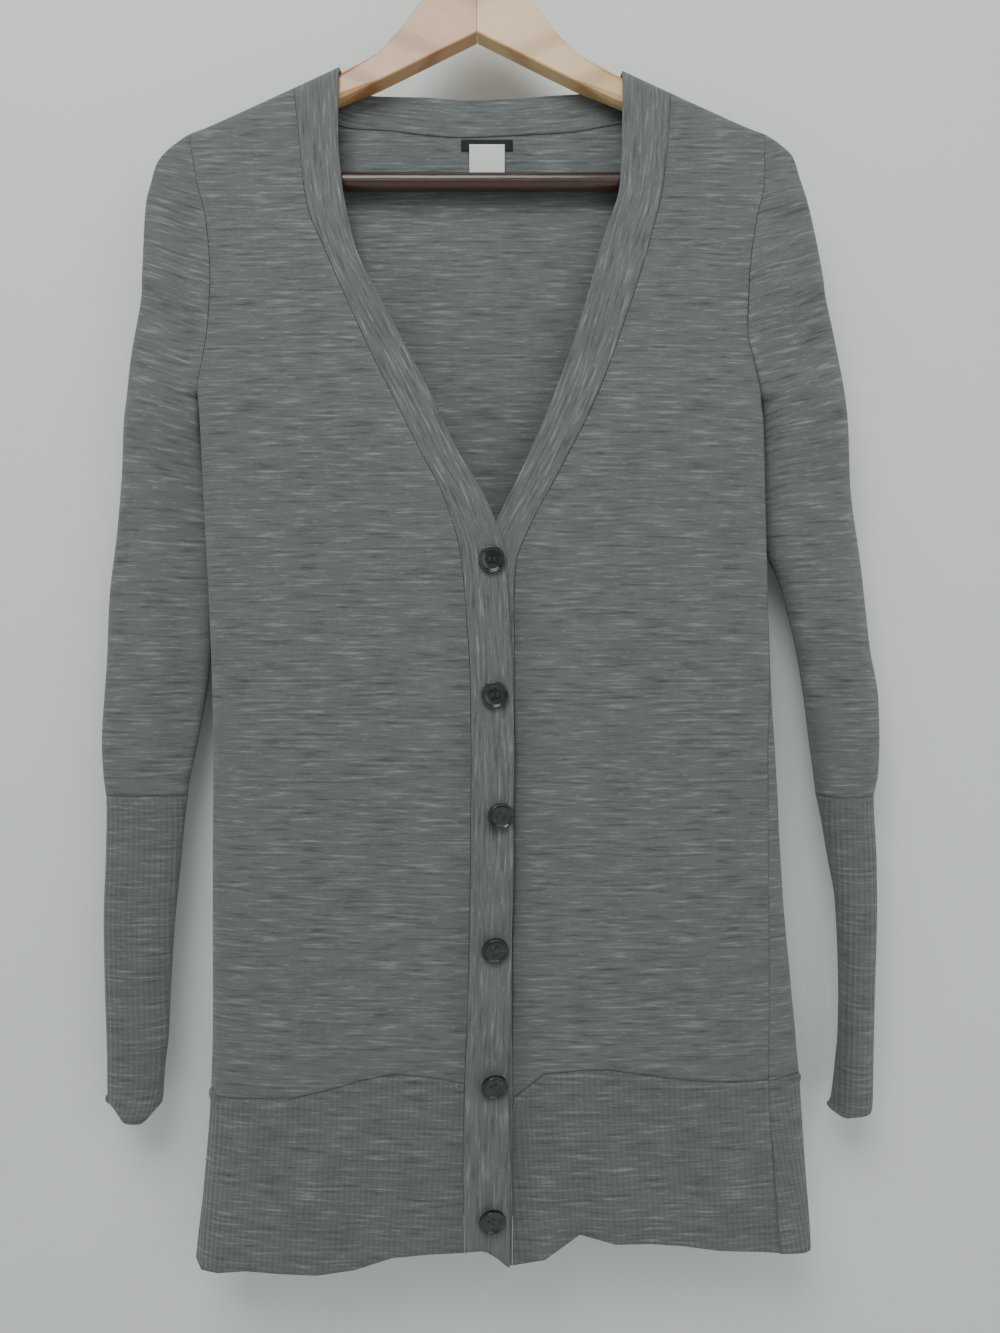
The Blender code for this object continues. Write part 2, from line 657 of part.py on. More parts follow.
def front_band(side):
    """A front band from the shoulder to the bottom edge, its seam on the front's own points."""
    inner_name = "right_z" if side == RIGHT else "left_z"
    seam_heights = [float(LEVELS.at(inner_name, i)) for i in range(LEVELS.length)]
    seam_heights += [z for z in HEM_ROWS[1:]]
    table = BANDS[side]
    rows = []
    for i, seam_z in enumerate(seam_heights):
        seam_x = float(table.at("seam", seam_z))
        rise = seam_heights[0] - float(table.key[-1])
        rise *= smooth_step(BAND_LEVEL_Z, seam_heights[0], seam_z)
        free_z = seam_z - rise
        free_x = float(table.at("free", free_z))
        row = []
        for part in BAND_ACROSS:
            x = seam_x + part * (free_x - seam_x)
            z = seam_z + part * (free_z - seam_z)
            row.append([x, 0.0 if i == 0 else float(body_y(side, FRONT, x, z)), z])
        row = np.array(row)
        if i == 0:
            row[:, 2] = seam_z + (free_z - seam_z) * np.array(BAND_ACROSS)
        if seam_z <= HEM_Z:
            down = (HEM_Z - seam_z) / (HEM_Z - HEM_ROWS[-1])
            seam_line = float(HEM_SEAM.at("z", seam_x))
            edge = HEM_EDGE.at("z", row[:, 0])
            row[:, 2] = seam_line + down * (edge - seam_line)
        elif i == LEVELS.length - 2:
            row[:, 2] += hem_drop(i) * (float(HEM_SEAM.at("z", seam_x)) - HEM_Z)
        rows.append(row)
    return np.array(rows)


def neckband():
    """The strip round the back neck, from the seam on the back to its free edge."""
    rows = []
    for i in range(NECKBAND.length):
        seam_x, seam_z, free_x, free_z = (
            NECKBAND.columns[n][i] for n in ("seam_x", "seam_z", "free_x", "free_z")
        )
        x = seam_x + np.array(BAND_ACROSS) * (free_x - seam_x)
        z = seam_z + np.array(BAND_ACROSS) * (free_z - seam_z)
        y = body_y(LEFT, BACK, x, z)
        if i in (0, NECKBAND.length - 1):
            y = y * 0
        rows.append(np.stack([x, y, z], axis=1))
    return np.array(rows)[::-1]


SLEEVE_AROUND = 14
FOLD_FADE = 0.12  # the part of a fold's length over which each end dies away


def sleeve_folds(side, distance, z):
    """How far the sleeve's creases push its front back at a place."""
    push = np.zeros_like(distance)
    for fold in SLEEVE_FOLDS[side]:
        (top_x, top_z), (low_x, low_z) = fold["top"], fold["low"]
        down = np.clip((top_z - z) / (top_z - low_z), 0, 1)
        centre = top_x + (low_x - top_x) * down
        fade = smooth_step(0.0, FOLD_FADE, down) * smooth_step(0.0, FOLD_FADE, 1 - down)
        push += fold["sink"] * fade * np.exp(-(((distance - centre) / fold["width"]) ** 2))
    return push


def tube_row(side, table, z, seam=None):
    """A ring of a sleeve or cuff from its inner front, round the outside, to its inner back.

    Above the underarm it is open: seam gives the armhole's distance and its two depths.
    """
    outer = float(table.at("outer", z))
    centre_y = float(table.at("centre_y", z))
    half_depth = float(table.at("half_depth", z))
    inner = float(table.at("inner", z)) if seam is None else seam[0]
    angle = np.linspace(0, math.pi, SLEEVE_AROUND // 2 + 1)
    distance = 0.5 * (inner + outer) - 0.5 * (outer - inner) * np.cos(angle)
    thick = half_depth * np.clip(np.sin(angle), 0, 1) ** (2 / SLEEVE_ROUNDNESS)
    share = np.clip(np.cos(angle / 2), 0, 1) ** (2 / CAP_ROUNDNESS)
    front = centre_y - thick
    back = centre_y + thick
    if seam is not None:
        front = front + (seam[1] - centre_y) * share
        back = back + (seam[2] - centre_y) * share
    inside = np.clip(np.sin(angle), 0, 1) ** 0.5
    front = front + sleeve_folds(side, distance, z) * inside
    back = back - 0.5 * sleeve_folds(side, distance, z) * inside
    front_half = np.stack([side * distance, front, np.full_like(distance, z)], axis=1)
    back_half = np.stack([side * distance, back, np.full_like(distance, z)], axis=1)
    return np.concatenate([front_half, back_half[-2::-1]])


def sleeve(side):
    rows = []
    for i in range(UNDERARM_ROW):
        z = level_side_z(side, i)
        seam_x = float(side_seam(side, z))
        front_y = 0.0 if i == 0 else float(body_y(side, FRONT, side * seam_x, z))
        back_y = 0.0 if i == 0 else float(body_y(side, BACK, side * seam_x, z))
        row = tube_row(side, SLEEVE[side], z, (seam_x, front_y, back_y))
        if i == 0:
            row[:] = (side * seam_x, 0.0, float(SHOULDER.at("z", seam_x)))
        else:
            row[0] = body_point(side, FRONT, side * seam_x, z)
            row[-1] = body_point(side, BACK, side * seam_x, z)
        rows.append(row)
    for z in (UNDERARM_Z[side], *SLEEVE_ROWS_BELOW):
        rows.append(tube_row(side, SLEEVE[side], z))
    return np.array(rows)


def cuff(side):
    rows = []
    for z in CUFF_ROWS:
        row = tube_row(side, CUFF[side], z)
        distance = abs(row[:, 0])
        part = (distance.max() - distance) / (distance.max() - distance.min())
        down = smooth_step(0.770, 0.802, -z)
        row[:, 2] += down * (CUFF_EDGE[side].at("z", part) - z)
        rows.append(row)
    return np.array(rows)


# ---- walls from the skin ---------------------------------------------------------------------
def place(point):
    """A point's key, so that pieces that meet in it share its normal."""
    return tuple(int(value) for value in np.floor(np.asarray(point) * 1e5 + 0.37))


def skin_normals(grids):
    """The outward normal at every point, summed over all the pieces that meet there."""
    total = {}
    for grid in grids:
        for i in range(grid.shape[0] - 1):
            for j in range(grid.shape[1] - 1):
                a, b, c, d = grid[i, j], grid[i + 1, j], grid[i + 1, j + 1], grid[i, j + 1]
                normal = np.cross(c - a, d - b)
                size = np.linalg.norm(normal)
                if size > 1e-12:
                    for corner in (a, b, c, d):
                        key = place(corner)
                        total[key] = total.get(key, 0) + normal / math.sqrt(size)
    return total


def on_shoulder_line(point):
    return point[1] == 0 and abs(point[2] - float(SHOULDER.at("z", abs(point[0])))) < 0.0006


def shoulder_normal(x):
    """The way that the cloth faces along the top of the hanger: up, and away from the neck."""
    step = 0.0005
    slope = float(SHOULDER.at("z", abs(x) + step) - SHOULDER.at("z", abs(x) - step)) / (2 * step)
    return np.array([-slope * np.sign(x), 0.0, 1.0])


def edge_pull(vertex, gap):
    """The move that takes a point on an edge of the cloth back from the seam by half the gap."""
    pulls = []
    for edge in vertex.link_edges:
        if len(edge.link_faces) == 1:
            face = edge.link_faces[0]
            along = (edge.verts[1].co - edge.verts[0].co).normalized()
            inward = face.calc_center_median() - edge.verts[0].co
            inward = (inward - along * inward.dot(along)).normalized()
            pulls.append(inward)
    if not pulls:
        return Vector((0, 0, 0))
    if len(pulls) == 1:
        return pulls[0] * gap / 2
    total = pulls[0] + pulls[1]
    return total * (gap / 2) / max(0.35, 1 + pulls[0].dot(pulls[1]))


def cloth_wall(name, grid, thickness, material, normals):
    """A closed wall of cloth: the grid outside, a copy moved inwards, and its edges joined."""
    mesh = bmesh.new()
    found = {}
    for point in grid.reshape(-1, 3):
        key = place(point)
        if key not in found:
            found[key] = mesh.verts.new(point)
    for i in range(grid.shape[0] - 1):
        for j in range(grid.shape[1] - 1):
            corners = []
            for point in (grid[i, j], grid[i + 1, j], grid[i + 1, j + 1], grid[i, j + 1]):
                vertex = found[place(point)]
                if vertex not in corners:
                    corners.append(vertex)
            if len(corners) > 2:
                mesh.faces.new(corners)
    mesh.normal_update()
    own = {vertex: normals.get(key) for key, vertex in found.items()}
    pulls = {vertex: edge_pull(vertex, SEAM_GAP) for vertex in mesh.verts}
    outside = list(mesh.faces)
    rim = [edge for edge in mesh.edges if len(edge.link_faces) == 1]
    rim_corners = [[loop.vert for loop in edge.link_loops[0].face.loops] for edge in rim]
    inside = {}
    for vertex in list(own):
        normal = Vector(own[vertex]).normalized()
        inside[vertex] = mesh.verts.new(vertex.co + pulls[vertex] - normal * thickness)
    for vertex in own:
        vertex.co += pulls[vertex]
    for face in outside:
        mesh.faces.new([inside[vertex] for vertex in reversed(face.verts)])
    for edge, corners in zip(rim, rim_corners):
        first, second = edge.verts
        if corners[(corners.index(first) + 1) % len(corners)] is not second:
            first, second = second, first
        mesh.faces.new([second, first, inside[first], inside[second]])
    bmesh.ops.triangulate(mesh, faces=[face for face in mesh.faces if len(face.verts) > 3])
    return add_object(name, mesh, material)


def add_object(name, mesh, material):
    data = bpy.data.meshes.new(name)
    mesh.to_mesh(data)
    mesh.free()
    data.materials.append(material)
    obj = bpy.data.objects.new(name, data)
    bpy.context.scene.collection.objects.link(obj)
    return obj


def make_material(name, color, roughness, metallic=0.0):
    material = bpy.data.materials.new(name)
    material.use_nodes = True
    shader = material.node_tree.nodes["Principled BSDF"]
    shader.inputs["Base Color"].default_value = (*color, 1.0)
    shader.inputs["Roughness"].default_value = roughness
    shader.inputs["Metallic"].default_value = metallic
    return material


def face_normal(side, face, x, z):
    """The outward normal of the body at a place, from small steps along it."""
    step = 0.0005
    slope_x = (body_y(side, face, x + step, z) - body_y(side, face, x - step, z)) / (2 * step)
    slope_z = (body_y(side, face, x, z + step) - body_y(side, face, x, z - step)) / (2 * step)
    return Vector((float(-slope_x), 1.0, float(-slope_z))).normalized() * face


def patch_behind(side, face, xs, zs, depth):
    """A grid of points that lies this deep inside the body's skin."""
    rows = []
    for z, row_x in zip(zs, xs):
        row = []
        for x in row_x:
            point = Vector(body_point(side, face, x, z)) - face_normal(side, face, x, z) * depth
            row.append(tuple(point))
        rows.append(row)
    return np.array(rows)


# ---- pieces ----------------------------------------------------------------------------------
def make_knitwear(knit, band):
    grids = {
        "back": (back_panel()[:, ::-1], KNIT, knit),
        "front_right": (front_panel(RIGHT)[:, ::-1], KNIT, knit),
        "front_left": (front_panel(LEFT), KNIT, knit),
        "hem_back": (hem_back()[:, ::-1], KNIT, knit),
        "hem_front_right": (hem_front(RIGHT)[:, ::-1], KNIT, knit),
        "hem_front_left": (hem_front(LEFT), KNIT, knit),
        "sleeve_right": (sleeve(RIGHT)[:, ::-1], KNIT, knit),
        "sleeve_left": (sleeve(LEFT), KNIT, knit),
        "cuff_right": (cuff(RIGHT)[:, ::-1], KNIT, knit),
        "cuff_left": (cuff(LEFT), KNIT, knit),
        "band_right": (front_band(RIGHT), BAND_KNIT, band),
        "band_left": (front_band(LEFT)[:, ::-1], BAND_KNIT, band),
        "neckband_back": (neckband(), BAND_KNIT, band),
    }
    normals = skin_normals([grid for grid, _, _ in grids.values()])
    for grid, _, _ in grids.values():
        for point in grid.reshape(-1, 3):
            if on_shoulder_line(point):
                normals[place(point)] = shoulder_normal(point[0])
    return {
        name: cloth_wall(name, grid, thickness, material, normals)
        for name, (grid, thickness, material) in grids.items()
    }


def make_pocket_bags(material):
    """One layer each, linked to the inside of a front and open at the side seam."""
    for side, name in ((RIGHT, "pocket_bag_right"), (LEFT, "pocket_bag_left")):
        xs = [
            side * np.linspace(float(BAG[side].at("inner", z)), BAG_OUTER[side], BAG_ACROSS)
            for z in BAG_ROWS
        ]
        grid = patch_behind(side, FRONT, xs, BAG_ROWS, KNIT + 2 * SEAM_GAP)
        grid = grid if side == LEFT else grid[:, ::-1]
        cloth_wall(name, grid, BAG_KNIT, material, skin_normals([grid]))


LABELS = (
    dict(name="brand_label", x=(-0.0108, 0.0235), z=(-0.1660, -0.1735), thick=0.0006, depth=0.0003),
    dict(name="size_label", x=(-0.0054, 0.0182), z=(-0.1694, -0.1891), thick=0.0005, depth=0.0012),
)


def make_labels(materials):
    """Two flat labels one before the other, inside the back just under the neckband's seam."""
    for label, material in zip(LABELS, materials):
        zs = np.linspace(*label["z"], 4)
        xs = [np.linspace(*label["x"], 5) for _ in zs]
        outer = KNIT + label["depth"]
        grid = patch_behind(LEFT, BACK, xs, zs, outer)[:, ::-1]
        cloth_wall(label["name"], grid, label["thick"], material, skin_normals([grid]))


def hanger_section(x, top_z, low_z, half_thick, corner, side):
    """A slice across one arm of the hanger, with rounded corners."""
    corner = min(corner, half_thick * 0.95, 0.45 * (top_z - low_z))
    points = []
    for centre_y, centre_z, start in (
        (half_thick - corner, top_z - corner, 0),
        (corner - half_thick, top_z - corner, 90),
        (corner - half_thick, low_z + corner, 180),
        (half_thick - corner, low_z + corner, 270),
    ):
        for step in range(3):
            angle = math.radians(start + 45 * step)
            y = centre_y + corner * math.cos(angle)
            z = centre_z + corner * math.sin(angle)
            points.append((side * x, y, z))
    return points


def make_hanger_half(side, name, material):
    mesh = bmesh.new()
    rings = []
    names = ("x", "top_z", "low_z", "half_thick", "corner")
    for i in range(HANGER_HALF.length):
        values = [float(HANGER_HALF.columns[n][i]) for n in names]
        rings.append([mesh.verts.new(p) for p in hanger_section(*values, side)])
    count = len(rings[0])
    for near, far in zip(rings, rings[1:]):
        for k in range(count):
            mesh.faces.new([near[k], near[(k + 1) % count], far[(k + 1) % count], far[k]])
    mesh.faces.new(rings[0])
    mesh.faces.new(rings[-1])
    bmesh.ops.recalc_face_normals(mesh, faces=mesh.faces)
    half = add_object(name, mesh, material)
    bar_mouth = (side * 0.1560, 0, BAR_Z)
    bar_bottom = (side * (BAR_HALF_LENGTH + SEAM_GAP), 0, BAR_Z)
    cut(half, rod_cutter(f"{name}_bar_hole", BAR_RADIUS + SEAM_GAP, bar_mouth, bar_bottom))
    hook_bottom = (0, 0, HOOK_FOOT_Z - SEAM_GAP)
    hook_mouth = (0, 0, -0.0500)
    cut(half, rod_cutter(f"{name}_hook_hole", WIRE_RADIUS + SEAM_GAP, hook_bottom, hook_mouth))


def rod(name, radius, start, end, segments, material=None):
    """A plain round rod between two places."""
    start, end = Vector(start), Vector(end)
    mesh = bmesh.new()
    length = (end - start).length
    bmesh.ops.create_cone(
        mesh, cap_ends=True, segments=segments, radius1=radius, radius2=radius, depth=length
    )
    turn = Vector((0, 0, 1)).rotation_difference(end - start).to_matrix().to_4x4()
    bmesh.ops.transform(mesh, matrix=Matrix.Translation((start + end) / 2) @ turn, verts=mesh.verts)
    data = bpy.data.meshes.new(name)
    mesh.to_mesh(data)
    mesh.free()
    if material:
        data.materials.append(material)
    obj = bpy.data.objects.new(name, data)
    bpy.context.scene.collection.objects.link(obj)
    return obj


def rod_cutter(name, radius, start, end):
    cutter = rod(name, radius, start, end, 16)
    hide_guide(cutter)
    return cutter


def hide_guide(obj):
    obj.hide_render = True
    obj.display_type = "WIRE"


def cut(obj, cutter):
    modifier = obj.modifiers.new(cutter.name, "BOOLEAN")
    modifier.operation = "DIFFERENCE"
    modifier.solver = "EXACT"
    modifier.object = cutter


def make_bar(material):
    right_end = (-BAR_HALF_LENGTH, 0, BAR_Z)
    left_end = (BAR_HALF_LENGTH, 0, BAR_Z)
    rod("hanger_bar", BAR_RADIUS, right_end, left_end, 24, material)


def make_hook(material):
    """The wire: a bend over the rod, a sweep back to the middle and a foot in the wood."""
    radius = HOOK_INSIDE_RADIUS + WIRE_RADIUS
    points = []
    for degrees in range(-35, 181, 12):
        angle = math.radians(degrees)
        points.append((radius * math.cos(angle), -HOOK_INSIDE_RADIUS + radius * math.sin(angle)))
    end_x, end_z = -radius, -HOOK_INSIDE_RADIUS
    stem_top = end_z - 0.0330
    for step in range(1, 9):
        part = step / 8
        x = end_x * (1 - smooth_step(0, 1, part))
        points.append((float(x), end_z + part * (stem_top - end_z)))
    points.append((0.0, 0.5 * (stem_top + HOOK_FOOT_Z)))
    points.append((0.0, HOOK_FOOT_Z))
    curve = bpy.data.curves.new("hanger_hook", "CURVE")
    curve.dimensions = "3D"
    curve.bevel_depth = WIRE_RADIUS
    curve.bevel_resolution = 2
    curve.use_fill_caps = True
    spline = curve.splines.new("POLY")
    spline.points.add(len(points) - 1)
    for target, (x, z) in zip(spline.points, points):
        target.co = (x, 0.0, z, 1.0)
    curve.materials.append(material)
    obj = bpy.data.objects.new("hanger_hook", curve)
    bpy.context.scene.collection.objects.link(obj)


def button_profile(shank_length):
    """Half of a button's turned outline, from the shank's foot to the middle of its face."""
    r, t = BUTTON_RADIUS, BUTTON_THICK
    return (
        (0.0, -shank_length),
        (SHANK_RADIUS, -shank_length),
        (SHANK_RADIUS, 0.0),
        (0.82 * r, 0.0),
        (r, 0.3 * t),
        (r, 0.7 * t),
        (0.92 * r, t),
        (0.80 * r, t),
        (0.70 * r, 0.75 * t),
        (0.0, 0.75 * t),
    )


def make_button(number, facts, face_material, band):
    """A disc with a raised rim and four holes, sewn through its buttonhole by a thread shank."""
    normal = face_normal(RIGHT, FRONT, facts["x"], facts["z"])
    on_band = Vector(body_point(RIGHT, FRONT, facts["x"], facts["z"]))
    droop = math.radians(facts["droop"])
    lift = BUTTON_RADIUS * math.sin(droop) + SEAM_GAP
    shank = lift + LAP - SEAM_GAP
    mesh = bmesh.new()
    segments = 20
    ring_before = None
    for radius, height in button_profile(shank):
        if radius == 0:
            ring = [mesh.verts.new((0, 0, height))]
        else:
            turns = [2 * math.pi * k / segments for k in range(segments)]
            ring = [
                mesh.verts.new((radius * math.cos(a), radius * math.sin(a), height)) for a in turns
            ]
        if ring_before is not None:
            join_rings(mesh, ring_before, ring, segments)
        ring_before = ring
    bmesh.ops.recalc_face_normals(mesh, faces=mesh.faces)
    lean = Matrix.Rotation(math.radians(facts["turn"]), 4, "Z") @ Matrix.Rotation(droop, 4, "X")
    upright = Vector((0, 0, 1)).rotation_difference(normal).to_matrix().to_4x4()
    facing = Matrix.Translation(on_band + normal * lift) @ upright
    for vertex in mesh.verts:
        if vertex.co.z > -1e-6:
            vertex.co = lean @ vertex.co
    bmesh.ops.transform(mesh, matrix=facing, verts=mesh.verts)
    button = add_object(f"button_{number}", mesh, face_material)
    for k in range(4):
        angle = math.radians(45 + 90 * k)
        offset = Vector((math.cos(angle), math.sin(angle), 0)) * BUTTON_HOLE_PITCH
        start = facing @ (lean @ (offset - Vector((0, 0, BUTTON_THICK))))
        end = facing @ (lean @ (offset + Vector((0, 0, 2 * BUTTON_THICK))))
        hole = rod(f"button_{number}_hole_{k}", BUTTON_HOLE_RADIUS, start, end, 8)
        hide_guide(hole)
        cut(button, hole)
    slit = slit_cutter(f"buttonhole_{number}", on_band, normal, facts["slit"])
    cut(band, slit)


def join_rings(mesh, before, after, segments):
    for k in range(segments):
        n = (k + 1) % segments
        if len(before) == 1:
            mesh.faces.new([before[0], after[k], after[n]])
        elif len(after) == 1:
            mesh.faces.new([before[k], after[0], before[n]])
        else:
            mesh.faces.new([before[k], after[k], after[n], before[n]])


def slit_cutter(name, centre, normal, degrees):
    """A thin upright block that opens a buttonhole through the band."""
    mesh = bmesh.new()
    bmesh.ops.create_cube(mesh, size=1.0)
    width, length = BUTTONHOLE
    size = Matrix.Diagonal((width, 4 * BAND_KNIT, length, 1))
    turn = Matrix.Rotation(math.radians(-degrees), 4, "Y")
    bmesh.ops.transform(mesh, matrix=Matrix.Translation(centre) @ turn @ size, verts=mesh.verts)
    data = bpy.data.meshes.new(name)
    mesh.to_mesh(data)
    mesh.free()
    cutter = bpy.data.objects.new(name, data)
    bpy.context.scene.collection.objects.link(cutter)
    hide_guide(cutter)
    return cutter


def main():
    for obj in list(bpy.data.objects):
        bpy.data.objects.remove(obj)
    knit = make_material("knit", (0.165, 0.178, 0.176), 0.92)
    band = make_material("band_knit", (0.150, 0.163, 0.160), 0.92)
    bag = make_material("bag_knit", (0.165, 0.178, 0.176), 0.92)
    black_label = make_material("black_label", (0.008, 0.008, 0.008), 0.75)
    white_label = make_material("white_label", (0.78, 0.78, 0.74), 0.70)
    red_wood = make_material("wood_reddish", (0.60, 0.33, 0.15), 0.45)
    yellow_wood = make_material("wood_yellowish", (0.74, 0.50, 0.24), 0.45)
    dark_wood = make_material("bar_wood", (0.045, 0.018, 0.012), 0.40)
    wire = make_material("wire", (0.60, 0.60, 0.60), 0.28, 1.0)
    horn = make_material("button_face", (0.010, 0.010, 0.011), 0.22)

    pieces = make_knitwear(knit, band)
    make_pocket_bags(bag)
    make_labels((black_label, white_label))
    make_hanger_half(RIGHT, "hanger_yoke_right", red_wood)
    make_hanger_half(LEFT, "hanger_yoke_left", yellow_wood)
    make_bar(dark_wood)
    make_hook(wire)
    for number, facts in enumerate(BUTTONS, 1):
        make_button(number, facts, horn, pieces["band_right"])


main()
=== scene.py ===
import math

import bmesh
import bpy
import numpy as np
from mathutils import Matrix, Vector


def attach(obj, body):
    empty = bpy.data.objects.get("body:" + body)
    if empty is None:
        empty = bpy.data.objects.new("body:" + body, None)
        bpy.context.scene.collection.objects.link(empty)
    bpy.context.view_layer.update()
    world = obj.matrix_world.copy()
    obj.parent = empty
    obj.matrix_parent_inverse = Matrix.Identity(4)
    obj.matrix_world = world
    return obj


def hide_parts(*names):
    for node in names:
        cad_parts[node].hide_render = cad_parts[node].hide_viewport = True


# The looks of a fine-knit V-neck cardigan that hangs buttoned on a flat wooden hanger.
# Metres, +Z up, the front faces -Y, and the wearer's left is +X. Right and left are the wearer's.

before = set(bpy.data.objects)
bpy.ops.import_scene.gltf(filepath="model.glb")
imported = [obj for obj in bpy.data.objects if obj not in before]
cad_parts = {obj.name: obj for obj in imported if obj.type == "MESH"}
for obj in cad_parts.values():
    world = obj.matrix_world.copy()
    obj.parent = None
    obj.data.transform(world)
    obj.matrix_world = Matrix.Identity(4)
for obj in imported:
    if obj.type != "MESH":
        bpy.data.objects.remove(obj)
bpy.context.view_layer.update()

# ---- driving sizes ---------------------------------------------------------------------------
KNIT = 0.0014  # thickness of the body, the sleeves and the hem
BAND_KNIT = 0.0022  # thickness of the doubled front bands and the neckband
BAG_KNIT = 0.0012  # thickness of a pocket bag
SEAM_GAP = 0.0003  # space between two pieces at a seam
LAP = 0.00285  # how far the right front stands before the left front, under its own band
BODY_ROUNDNESS = 3.0  # exponent of the flattened ring that the body hangs in
SLEEVE_ROUNDNESS = 2.4  # the same for the sleeves and cuffs
CAP_ROUNDNESS = 4.0  # the same where the sleeve's cap rounds the end of the hanger
SHOULDER_ROUND = 0.012  # how far below the shoulder line the cloth has turned down
UNDERARM_Z = {-1: -0.3367, 1: -0.3400}
BUTTON_RADIUS = 0.0085
BUTTON_THICK = 0.0030
BUTTON_HOLE_RADIUS = 0.0009
BUTTON_HOLE_PITCH = 0.0023  # from the button's middle to the middle of each hole

RIGHT, LEFT = -1, 1
FRONT, BACK = -1, 1


# ---- tables with named columns ---------------------------------------------------------------
class Table:
    """Rows of named columns, read between the rows by a smooth curve that never overshoots."""

    def __init__(self, columns, rows):
        rows = np.array(rows, dtype=float)
        self.length = len(rows)
        self.columns = {name: rows[:, i] for i, name in enumerate(columns.split())}
        self.key = self.columns[columns.split()[0]]
        if self.key[0] > self.key[-1]:
            self.key = self.key[::-1]
            self.columns = {name: values[::-1] for name, values in self.columns.items()}

    def at(self, name, where):
        x, y = self.key, self.columns[name]
        step = np.diff(x)
        slope = np.diff(y) / step
        tangent = np.zeros(len(x))
        before, after = slope[:-1], slope[1:]
        same_way = before * after > 0
        weight_a = 2 * step[1:] + step[:-1]
        weight_b = step[1:] + 2 * step[:-1]
        safe_before = np.where(same_way, before, 1)
        safe_after = np.where(same_way, after, 1)
        mean = (weight_a + weight_b) / (weight_a / safe_before + weight_b / safe_after)
        tangent[1:-1] = np.where(same_way, mean, 0)
        tangent[0], tangent[-1] = slope[0], slope[-1]
        where = np.clip(np.asarray(where, dtype=float), x[0], x[-1])
        i = np.clip(np.searchsorted(x, where, side="right") - 1, 0, len(step) - 1)
        t = (where - x[i]) / step[i]
        return (
            (1 + 2 * t) * (1 - t) ** 2 * y[i]
            + t * (1 - t) ** 2 * step[i] * tangent[i]
            + t * t * (3 - 2 * t) * y[i + 1]
            + t * t * (t - 1) * step[i] * tangent[i + 1]
        )


# Rings of the body by height. Edges are where the ring turns from front to back, beyond the
# armhole above the underarms. Seams are the armhole and then the side seam, and the left side
# seam lies on the front. All four are distances from the middle.
TORSO = Table(
    "z right_edge right_seam left_seam left_edge front_depth back_depth",
    [
        (-0.120, 0.3000, 0.1850, 0.1850, 0.3000, 0.0110, 0.0110),
        (-0.169, 0.2900, 0.1840, 0.1845, 0.2900, 0.0110, 0.0110),
        (-0.202, 0.2600, 0.1795, 0.1845, 0.2700, 0.0110, 0.0110),
        (-0.226, 0.2300, 0.1738, 0.1796, 0.2400, 0.0112, 0.0110),
        (-0.262, 0.2060, 0.1712, 0.1752, 0.2100, 0.0116, 0.0110),
        (-0.297, 0.1890, 0.1735, 0.1742, 0.1900, 0.0122, 0.0114),
        (-0.319, 0.1825, 0.1779, 0.1795, 0.1845, 0.0127, 0.0118),
        (-0.3367, 0.1814, 0.1814, 0.1840, 0.1846, 0.0131, 0.0120),
        (-0.340, 0.1811, 0.1811, 0.1846, 0.1846, 0.0132, 0.0121),
        (-0.353, 0.1801, 0.1801, 0.1859, 0.1859, 0.0135, 0.0123),
        (-0.418, 0.1768, 0.1768, 0.1874, 0.1875, 0.0150, 0.0132),
        (-0.496, 0.1729, 0.1729, 0.1892, 0.1896, 0.0166, 0.0142),
        (-0.535, 0.1716, 0.1716, 0.1888, 0.1911, 0.0174, 0.0148),
        (-0.574, 0.1710, 0.1710, 0.1870, 0.1936, 0.0182, 0.0153),
        (-0.652, 0.1714, 0.1714, 0.1870, 0.1976, 0.0195, 0.0163),
        (-0.736, 0.1711, 0.1711, 0.1866, 0.2048, 0.0208, 0.0174),
        (-0.780, 0.1722, 0.1722, 0.1858, 0.2084, 0.0214, 0.0180),
        (-0.834, 0.1762, 0.1762, 0.1892, 0.2124, 0.0222, 0.0186),
        (-0.889, 0.1820, 0.1820, 0.1930, 0.2164, 0.0230, 0.0190),
        (-0.905, 0.1828, 0.1828, 0.1936, 0.2166, 0.0230, 0.0190),
    ],
)

# The shoulder line by distance from the middle.
SHOULDER = Table(
    "x z",
    [
        (0.000, -0.0840),
        (0.088, -0.1261),
        (0.117, -0.1396),
        (0.154, -0.1564),
        (0.176, -0.1660),
        (0.185, -0.1692),
    ],
)

# The rows of knitting that each panel is built on, from the shoulder to the hem seam: the
# height at the armhole or side seam, and at the seam of each front band.
LEVELS = Table(
    "row side_z right_z left_z",
    [
        (0, -0.1690, -0.1396, -0.1429),
        (1, -0.1710, -0.1418, -0.1451),
        (2, -0.1765, -0.1475, -0.1508),
        (3, -0.1870, -0.1620, -0.1650),
        (4, -0.2020, -0.1870, -0.1880),
        (5, -0.2200, -0.2150, -0.2150),
        (6, -0.2400, -0.2440, -0.2440),
        (7, -0.2640, -0.2760, -0.2760),
        (8, -0.2880, -0.3070, -0.3070),
        (9, -0.3100, -0.3370, -0.3370),
        (10, -0.3250, -0.3560, -0.3560),
        (11, -0.3367, -0.3720, -0.3720),
        (12, -0.3560, -0.3930, -0.3930),
        (13, -0.3850, -0.4190, -0.4190),
        (14, -0.4200, -0.4480, -0.4480),
        (15, -0.4600, -0.4800, -0.4800),
        (16, -0.5040, -0.5140, -0.5140),
        (17, -0.5440, -0.5480, -0.5480),
        (18, -0.5850, -0.5850, -0.5850),
        (19, -0.6330, -0.6330, -0.6330),
        (20, -0.6820, -0.6820, -0.6820),
        (21, -0.7320, -0.7320, -0.7320),
        (22, -0.7800, -0.7800, -0.7800),
    ],
)
UNDERARM_ROW = 11
HEM_Z = -0.7800
HEM_ROWS = (-0.7800, -0.8150, -0.8500, -0.8850)

